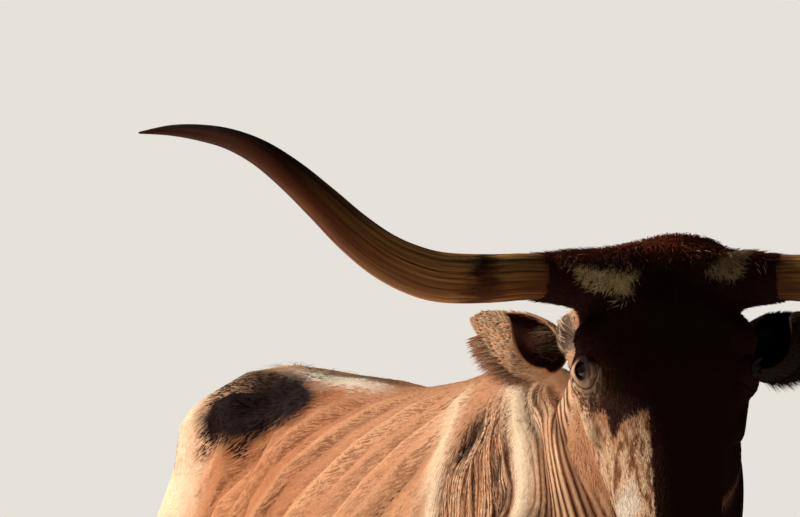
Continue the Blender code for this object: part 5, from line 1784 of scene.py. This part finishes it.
def ramp(tree, value, stops):
    made = node(tree, "ShaderNodeValToRGB", Fac=value)
    bar = made.color_ramp.elements
    while len(bar) > 1:
        bar.remove(bar[-1])
    bar[0].position, bar[0].color = stops[0][0], (*stops[0][1], 1)
    for place, colour in stops[1:]:
        bar.new(place).color = (*colour, 1)
    return made.outputs[0]


def hair_material(name, rough=0.75, sheen=0.0):
    """Hair: the colour of its tuft, mottled finely, with a soft gloss along it."""
    made, shader = material(name, rough, 0.03, sheen)
    tree = made.node_tree
    mottle = stretched(tree, noise(tree, 260.0, 2.0), 0.3, 0.7, 0.92, 1.08)
    broad = stretched(tree, noise(tree, 14.0, 3.0), 0.3, 0.7, 0.88, 1.10)
    colour = mixed(tree, 1.0, attribute(tree, "coat"), maths(tree, "MULTIPLY", mottle, broad), "MULTIPLY")
    tree.links.new(colour, shader.inputs["Base Color"])
    strands = noise(tree, 900.0, 2.0)
    bump(tree, shader, strands, 0.0004, 0.3)
    rough_map = stretched(tree, noise(tree, 120.0, 2.0), 0.3, 0.7, rough - 0.10, rough + 0.10)
    tree.links.new(rough_map, shader.inputs["Roughness"])
    return made


def hide_material():
    """The skin under the coat: short fur as fine streaks with painted shade in the neck's creases, and bare
    pebbled leather on the muzzle.
    """
    made, shader = material("steer_hide", 0.7, 0.05, 0.0)
    tree = made.node_tree
    bare = attribute(tree, "leather", "Fac")
    fur = noise(tree, 420.0, 4.0, (1.0, 0.55, 0.35))
    streak = stretched(tree, fur, 0.3, 0.7, 0.80, 1.15)
    # Painted shade down in the fine creases of the neck.
    wave = maths(tree, "SINE", maths(tree, "MULTIPLY", attribute(tree, "fold_line", "Fac"), 2 * math.pi))
    crease = stretched(tree, wave, -1.0, 0.0, 1.0, 0.0)
    crease = maths(tree, "MULTIPLY", crease, attribute(tree, "fold_share", "Fac"))
    streak = maths(tree, "MULTIPLY", streak, stretched(tree, crease, 0.0, 1.0, 1.0, 1 - CREASE_SHADE))
    colour = mixed(tree, 1.0, attribute(tree, "coat"), streak, "MULTIPLY")
    cells = node(tree, "ShaderNodeTexVoronoi", Vector=object_place(tree), Scale=330.0).outputs["Distance"]
    leather = ramp(tree, cells, ((0.0, (0.075, 0.043, 0.036)), (0.6, (0.022, 0.013, 0.011))))
    tree.links.new(mixed(tree, bare, colour, leather), shader.inputs["Base Color"])
    pebble = maths(tree, "MULTIPLY", maths(tree, "SUBTRACT", 1.0, cells), bare)
    height = maths(tree, "ADD", maths(tree, "MULTIPLY", fur, maths(tree, "SUBTRACT", 1.0, bare)), pebble)
    bump(tree, shader, height, 0.0012, 0.5)
    tree.links.new(stretched(tree, bare, 0.0, 1.0, 0.72, 0.34), shader.inputs["Roughness"])
    return made


def horn_material():
    """Horn: painted shade where the hair meets it, olive and ivory at the base, brown along the bend and near
    black at the tip, with long fibres.
    """
    made, shader = material("steer_horn", 0.46, 0.07)
    tree = made.node_tree
    along, turn = attribute(tree, "along", "Fac"), attribute(tree, "turn", "Fac")
    angle = maths(tree, "MULTIPLY", turn, 2 * math.pi)
    across, up = maths(tree, "COSINE", angle), maths(tree, "SINE", angle)
    round_horn = node(tree, "ShaderNodeCombineXYZ", X=across, Y=up, Z=along).outputs[0]
    long_fibres = noise(tree, 9.0, 5.0, (1, 1, 0.35), 0.65, round_horn)
    blotches = noise(tree, 2.2, 4.0, (0.8, 0.8, 2.6), 0.65, round_horn)
    fine = noise(tree, 34.0, 3.0, (1, 1, 0.22), 0.65, round_horn)
    place = maths(tree, "ADD", along, stretched(tree, blotches, 0.3, 0.7, -0.05, 0.05))
    streaked = stretched(tree, long_fibres, 0.36, 0.64, 0.18, 1.50)
    streaked = mixed(tree, 1.0, ramp(tree, place, HORN_STOPS), streaked, "MULTIPLY")
    streaked = mixed(tree, 1.0, streaked, stretched(tree, fine, 0.35, 0.65, 0.62, 1.3), "MULTIPLY")
    under = maths(tree, "SINE", maths(tree, "ADD", angle, -2.2))
    red = mixed(tree, stretched(tree, under, 0.2, 1.0, 0.0, 0.72), streaked, (0.100, 0.022, 0.006, 1))
    tree.links.new(red, shader.inputs["Base Color"])
    bump(tree, shader, maths(tree, "ADD", long_fibres, maths(tree, "MULTIPLY", fine, 0.6)), 0.0012, 0.7)
    tree.links.new(stretched(tree, long_fibres, 0.3, 0.7, 0.30, 0.52), shader.inputs["Roughness"])
    return made


def eye_material():
    """A dark brown iris with a long level pupil, under a wet cornea."""
    made, shader = material("steer_eye", 0.12, 0.5)
    tree = made.node_tree
    shader.inputs["Coat Weight"].default_value = 1.0
    shader.inputs["Coat Roughness"].default_value = 0.03
    off, wide, tall = (attribute(tree, word, "Fac") for word in ("off_axis", "across_pupil", "up_pupil"))
    radial = stretched(tree, noise(tree, 700.0, 3.0), 0.3, 0.7, 0.6, 1.5)
    iris = mixed(tree, 1.0, ramp(tree, off, EYE_STOPS), radial, "MULTIPLY")
    long_way = maths(tree, "POWER", maths(tree, "MULTIPLY", wide, 2.6), 2.0)
    short_way = maths(tree, "POWER", maths(tree, "MULTIPLY", tall, 5.2), 2.0)
    pupil = stretched(tree, maths(tree, "ADD", long_way, short_way), 0.8, 1.1, 1.0, 0.0)
    tree.links.new(mixed(tree, pupil, iris, (0.004, 0.004, 0.006, 1)), shader.inputs["Base Color"])
    return made


def hoof_material():
    """Dark horn of the hoof, in growth rings, scuffed towards the floor."""
    made, shader = material("steer_hoof", 0.55, 0.4)
    tree = made.node_tree
    rings = noise(tree, 30.0, 4.0, (0.15, 0.15, 9.0))
    scuffs = noise(tree, 140.0, 4.0, (1, 1, 0.5))
    worn = stretched(tree, scuffs, 0.3, 0.7, 0.7, 1.35)
    colour = mixed(tree, 1.0, ramp(tree, rings, HOOF_STOPS), worn, "MULTIPLY")
    tree.links.new(colour, shader.inputs["Base Color"])
    bump(tree, shader, maths(tree, "ADD", rings, maths(tree, "MULTIPLY", scuffs, 0.4)), 0.002, 0.7)
    tree.links.new(stretched(tree, scuffs, 0.3, 0.7, 0.42, 0.68), shader.inputs["Roughness"])
    return made


def floor_material():
    made, shader = material("studio_floor", 0.8, 0.2)
    tree = made.node_tree
    tone = stretched(tree, noise(tree, 3.0, 3.0), 0.3, 0.7, 0.97, 1.03)
    tree.links.new(mixed(tree, 1.0, (0.79, 0.75, 0.69, 1), tone, "MULTIPLY"), shader.inputs["Base Color"])
    return made


def bristle_tree():
    """Geometry Nodes that grow one curved bristle from each point, along its attribute `way`."""
    tree = bpy.data.node_groups.new("bristles", "GeometryNodeTree")
    face = tree.interface
    face.new_socket("Geometry", in_out="INPUT", socket_type="NodeSocketGeometry")
    for word, value in (("Length", 0.03), ("Root radius", 0.0004), ("Bend", 0.3)):
        face.new_socket(word, in_out="INPUT", socket_type="NodeSocketFloat").default_value = value
    face.new_socket("Seed", in_out="INPUT", socket_type="NodeSocketInt").default_value = 1
    face.new_socket("Finish", in_out="INPUT", socket_type="NodeSocketMaterial")
    face.new_socket("Geometry", in_out="OUTPUT", socket_type="NodeSocketGeometry")
    given = tree.nodes.new("NodeGroupInput").outputs
    tip = node(tree, "ShaderNodeCombineXYZ", X=given["Bend"], Z=1.0).outputs[0]
    line = node(
        tree,
        "GeometryNodeCurvePrimitiveBezierSegment",
        Resolution=5,
        Start=(0, 0, 0),
        Start_Handle=(0, 0, 0.4),
        End_Handle=(0.05, 0, 0.75),
        End=tip,
    ).outputs[0]
    along = tree.nodes.new("GeometryNodeSplineParameter").outputs["Factor"]
    taper = stretched(tree, along, 0.0, 1.0, 1.0, 0.12)
    line = node(tree, "GeometryNodeSetCurveRadius", Curve=line, Radius=taper).outputs[0]
    radius = maths(tree, "DIVIDE", given["Root radius"], given["Length"])
    section = node(tree, "GeometryNodeCurvePrimitiveCircle", Resolution=4, Radius=radius).outputs[0]
    solid = node(tree, "GeometryNodeCurveToMesh", Curve=line, Profile_Curve=section, Fill_Caps=True)
    way = node(tree, "GeometryNodeInputNamedAttribute", Name="way")
    way.data_type = "FLOAT_VECTOR"
    aim = node(tree, "FunctionNodeAlignRotationToVector", Vector=way.outputs["Attribute"])
    aim.axis = "Z"
    vary = node(tree, "FunctionNodeRandomValue", i2=0.6, i3=1.2, Seed=given["Seed"]).outputs[1]
    place = node(
        tree,
        "GeometryNodeInstanceOnPoints",
        Points=given["Geometry"],
        Instance=solid.outputs[0],
        Rotation=aim.outputs[0],
        Scale=maths(tree, "MULTIPLY", vary, given["Length"]),
    )
    real = node(tree, "GeometryNodeRealizeInstances", i0=place.outputs[0]).outputs[0]
    finish = node(tree, "GeometryNodeSetMaterial", Geometry=real, Material=given["Finish"])
    node(tree, "NodeGroupOutput", i0=finish.outputs[0])
    return tree


def bristles(name, tree, roots, ways, length, radius, bend, seed, finish):
    """Bristles from given roots, as a plain mesh."""
    mesh = bpy.data.meshes.new(name)
    mesh.from_pydata([tuple(root) for root in roots], [], [])
    carrier = bpy.data.objects.new(name, mesh)
    bpy.context.scene.collection.objects.link(carrier)
    layer = mesh.attributes.new("way", "FLOAT_VECTOR", "POINT")
    layer.data.foreach_set("vector", np.asarray(ways, np.float32).ravel())
    grow = carrier.modifiers.new("bristles", "NODES")
    grow.node_group = tree
    sockets = {item.name: item.identifier for item in tree.interface.items_tree if item.in_out == "INPUT"}
    settings = {"Length": length, "Root radius": radius, "Bend": bend, "Seed": seed, "Finish": finish}
    for word, value in settings.items():
        grow[sockets[word]] = value
    graph = bpy.context.evaluated_depsgraph_get()
    plain = bpy.data.meshes.new_from_object(carrier.evaluated_get(graph))
    carrier.modifiers.clear()
    carrier.data = plain
    if "way" in plain.attributes:
        plain.attributes.remove(plain.attributes["way"])
    return carrier


def face_bristles(tree, surface, finish):
    """Whiskers on the lips and chin, and lashes on the upper lids."""
    draw = random.Random(14)
    turn = HEAD_FRAME.to_3x3()
    roots, ways = [], []
    for _ in range(WHISKERS):
        side = draw.choice((-1, 1))
        across, along = side * draw.uniform(0.015, 0.085), -draw.uniform(0.42, 0.53)
        root = Vector((across, along, draw.choice((-0.13, -0.09, -0.16))))
        place, normal, _, _ = surface.find_nearest(HEAD_FRAME @ root)
        ahead = turn @ Vector((0.3 * side, -0.6, -0.3))
        roots.append(place - normal * 0.001)
        stray = Vector((draw.uniform(-0.3, 0.3), 0, draw.uniform(-0.3, 0.3)))
        ways.append((normal + ahead * 0.7 + stray).normalized())
    pieces = [bristles("whiskers", tree, roots, ways, 0.040, 0.00035, 0.35, 3, finish)]
    half_length, half_height = EYE_OPENING
    for word, side in SIDES.items():
        place = eye_frame(side)
        roots, ways = [], []
        upward = -1 if (place.to_3x3() @ Vector((0, 1, 0))).z < 0 else 1
        for _ in range(LASHES):
            angle = math.pi * draw.uniform(0.08, 0.92)
            x, y = half_length * math.cos(angle), upward * half_height * math.sin(angle)
            out = math.sqrt(max(0.0, (EYE_RADIUS + LID_THICKNESS) ** 2 - x * x - y * y))
            roots.append(place @ Vector((x * 1.03, y * 1.10, out - 0.0012)))
            ways.append(place.to_3x3() @ Vector((x * 14, upward * 0.35, 0.75)).normalized())
        pieces.append(bristles(f"lashes_{word}", tree, roots, ways, 0.017, 0.00030, 0.35, 4, finish))
    return pieces


def floor():
    bpy.ops.mesh.primitive_plane_add(size=14, location=(0, 0, 0))
    made = bpy.context.object
    made.name = "studio_floor"
    made.data.materials.append(floor_material())


# The photograph's camera: its way round from straight ahead, distance from the head, height and upward tilt.
VIEW_TURN = math.radians(25.8)
VIEW_DISTANCE = 5.0
VIEW_ASIDE = 0.39
VIEW_HEIGHT = 1.22
VIEW_TILT = math.radians(3.77)
VIEW_LENS = 150
# The lamps: name, way from the neck, distance, size, power, colour. They aim at the neck.
LIGHTS = (
    ("key", (-0.70, 0.55, 0.44), 5.5, 0.8, 490, (1.0, 0.93, 0.83)),
    ("rim", (-0.25, 0.95, 0.75), 5.5, 2.5, 60, (1.0, 0.95, 0.88)),
    ("fill", (-0.30, -0.95, 0.25), 6.0, 3.0, 8, (0.95, 0.97, 1.0)),
)
LIGHTS_AIM = Vector((-0.05, -0.55, 1.35))


def camera():
    made = bpy.data.objects.new("camera", bpy.data.cameras.new("camera"))
    bpy.context.scene.collection.objects.link(made)
    ahead = Vector((math.sin(VIEW_TURN), math.cos(VIEW_TURN), 0))
    right = Vector((math.cos(VIEW_TURN), -math.sin(VIEW_TURN), 0))
    made.location = HEAD_PLACE - FLOOR_CENTRE - ahead * VIEW_DISTANCE - right * VIEW_ASIDE
    made.location.z = VIEW_HEIGHT
    made.rotation_euler = (math.radians(90) + VIEW_TILT, 0, -VIEW_TURN)
    made.data.lens = VIEW_LENS
    made.data.sensor_width = 36
    bpy.context.scene.camera = made


def area_light(name, toward, distance, size, power, colour):
    """A soft square light that faces the neck."""
    lamp = bpy.data.lights.new(name, "AREA")
    lamp.size = size
    lamp.energy = power
    lamp.color = colour
    made = bpy.data.objects.new(name, lamp)
    bpy.context.scene.collection.objects.link(made)
    made.location = LIGHTS_AIM + Vector(toward).normalized() * distance
    made.rotation_euler = (LIGHTS_AIM - made.location).to_track_quat("-Z", "Y").to_euler()


def lights():
    """The lamps, and a world that is pale to the camera and faint on the model."""
    for lamp in LIGHTS:
        area_light(*lamp)
    world = bpy.data.worlds.new("studio")
    world.use_nodes = True
    tree = world.node_tree
    back = tree.nodes["Background"]
    back.inputs["Color"].default_value = (0.79, 0.76, 0.705, 1)
    back.inputs["Strength"].default_value = 1.0
    soft = node(tree, "ShaderNodeBackground", Color=(0.9, 0.9, 0.88, 1), Strength=0.05)
    seen = tree.nodes.new("ShaderNodeLightPath").outputs["Is Camera Ray"]
    choose = node(tree, "ShaderNodeMixShader", i0=seen, i1=soft.outputs[0], i2=back.outputs[0])
    tree.links.new(choose.outputs[0], tree.nodes["World Output"].inputs["Surface"])
    bpy.context.scene.world = world
    bpy.context.scene.view_settings.view_transform = "Standard"


def dressed(made, finish, slot, *nodes):
    """Sets a finished piece down over the floor's middle, with its material and body. The slot is not used.
    """
    if made.data.materials:
        made.data.materials[0] = finish
    else:
        made.data.materials.append(finish)
    made.data.transform(Matrix.Translation(-FLOOR_CENTRE))
    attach(made, "root")
    if nodes:
        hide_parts(*nodes)
    return made


def main():
    camera()
    lights()
    floor()
    skin = make_skin()
    surface = BVHTree.FromObject(skin, bpy.context.evaluated_depsgraph_get())
    coat, hide = hair_material("short_coat"), hide_material()
    long_hair = hair_material("long_hair", 0.6, 0.02)
    whole = ("head", "neck", "torso", "tail")
    flesh = [name for name in frame["nodes"] if name in whole or "_upper_" in name or "_lower_" in name]
    poll, wisps = poll_hair(surface), back_wisps(surface)
    bristle = face_bristles(bristle_tree(), surface, long_hair)
    for piece in coat_pieces(skin, surface):
        dressed(piece, coat, "head_coat" if piece.name == "coat_head" else "body_coat")
    dressed(skin, hide, "body_coat", *flesh)
    dressed(poll, long_hair, "head_coat")
    dressed(wisps, long_hair, "body_coat")
    for piece in bristle:
        give(piece, "coat", np.full((len(piece.data.vertices), 3), 0.05))
        dressed(piece, long_hair, "head_coat")
    horn, eye, hoof = horn_material(), eye_material(), hoof_material()
    for word, side in SIDES.items():
        dressed(make_horn(word, side), horn, "horn", f"horn_{word}")
        dressed(make_eye(word, side), eye, "eye", f"eye_{word}")
        dressed(make_ear(word, side), hide, "head_coat", f"ear_{word}")
        dressed(ear_hair(word, side), long_hair, "head_coat")
        for kind, rows, step in LEGS:
            place = foot_place(rows, side, step[word])
            for claw, offset in (("outer", side), ("inner", -side)):
                name = f"{kind}_claw_{claw}_{word}"
                dressed(make_claw(f"{name}_shell", place, offset), hoof, "hoof", name)
    dressed(tail_hair(), long_hair, "switch_hair", "tail_switch")


main()
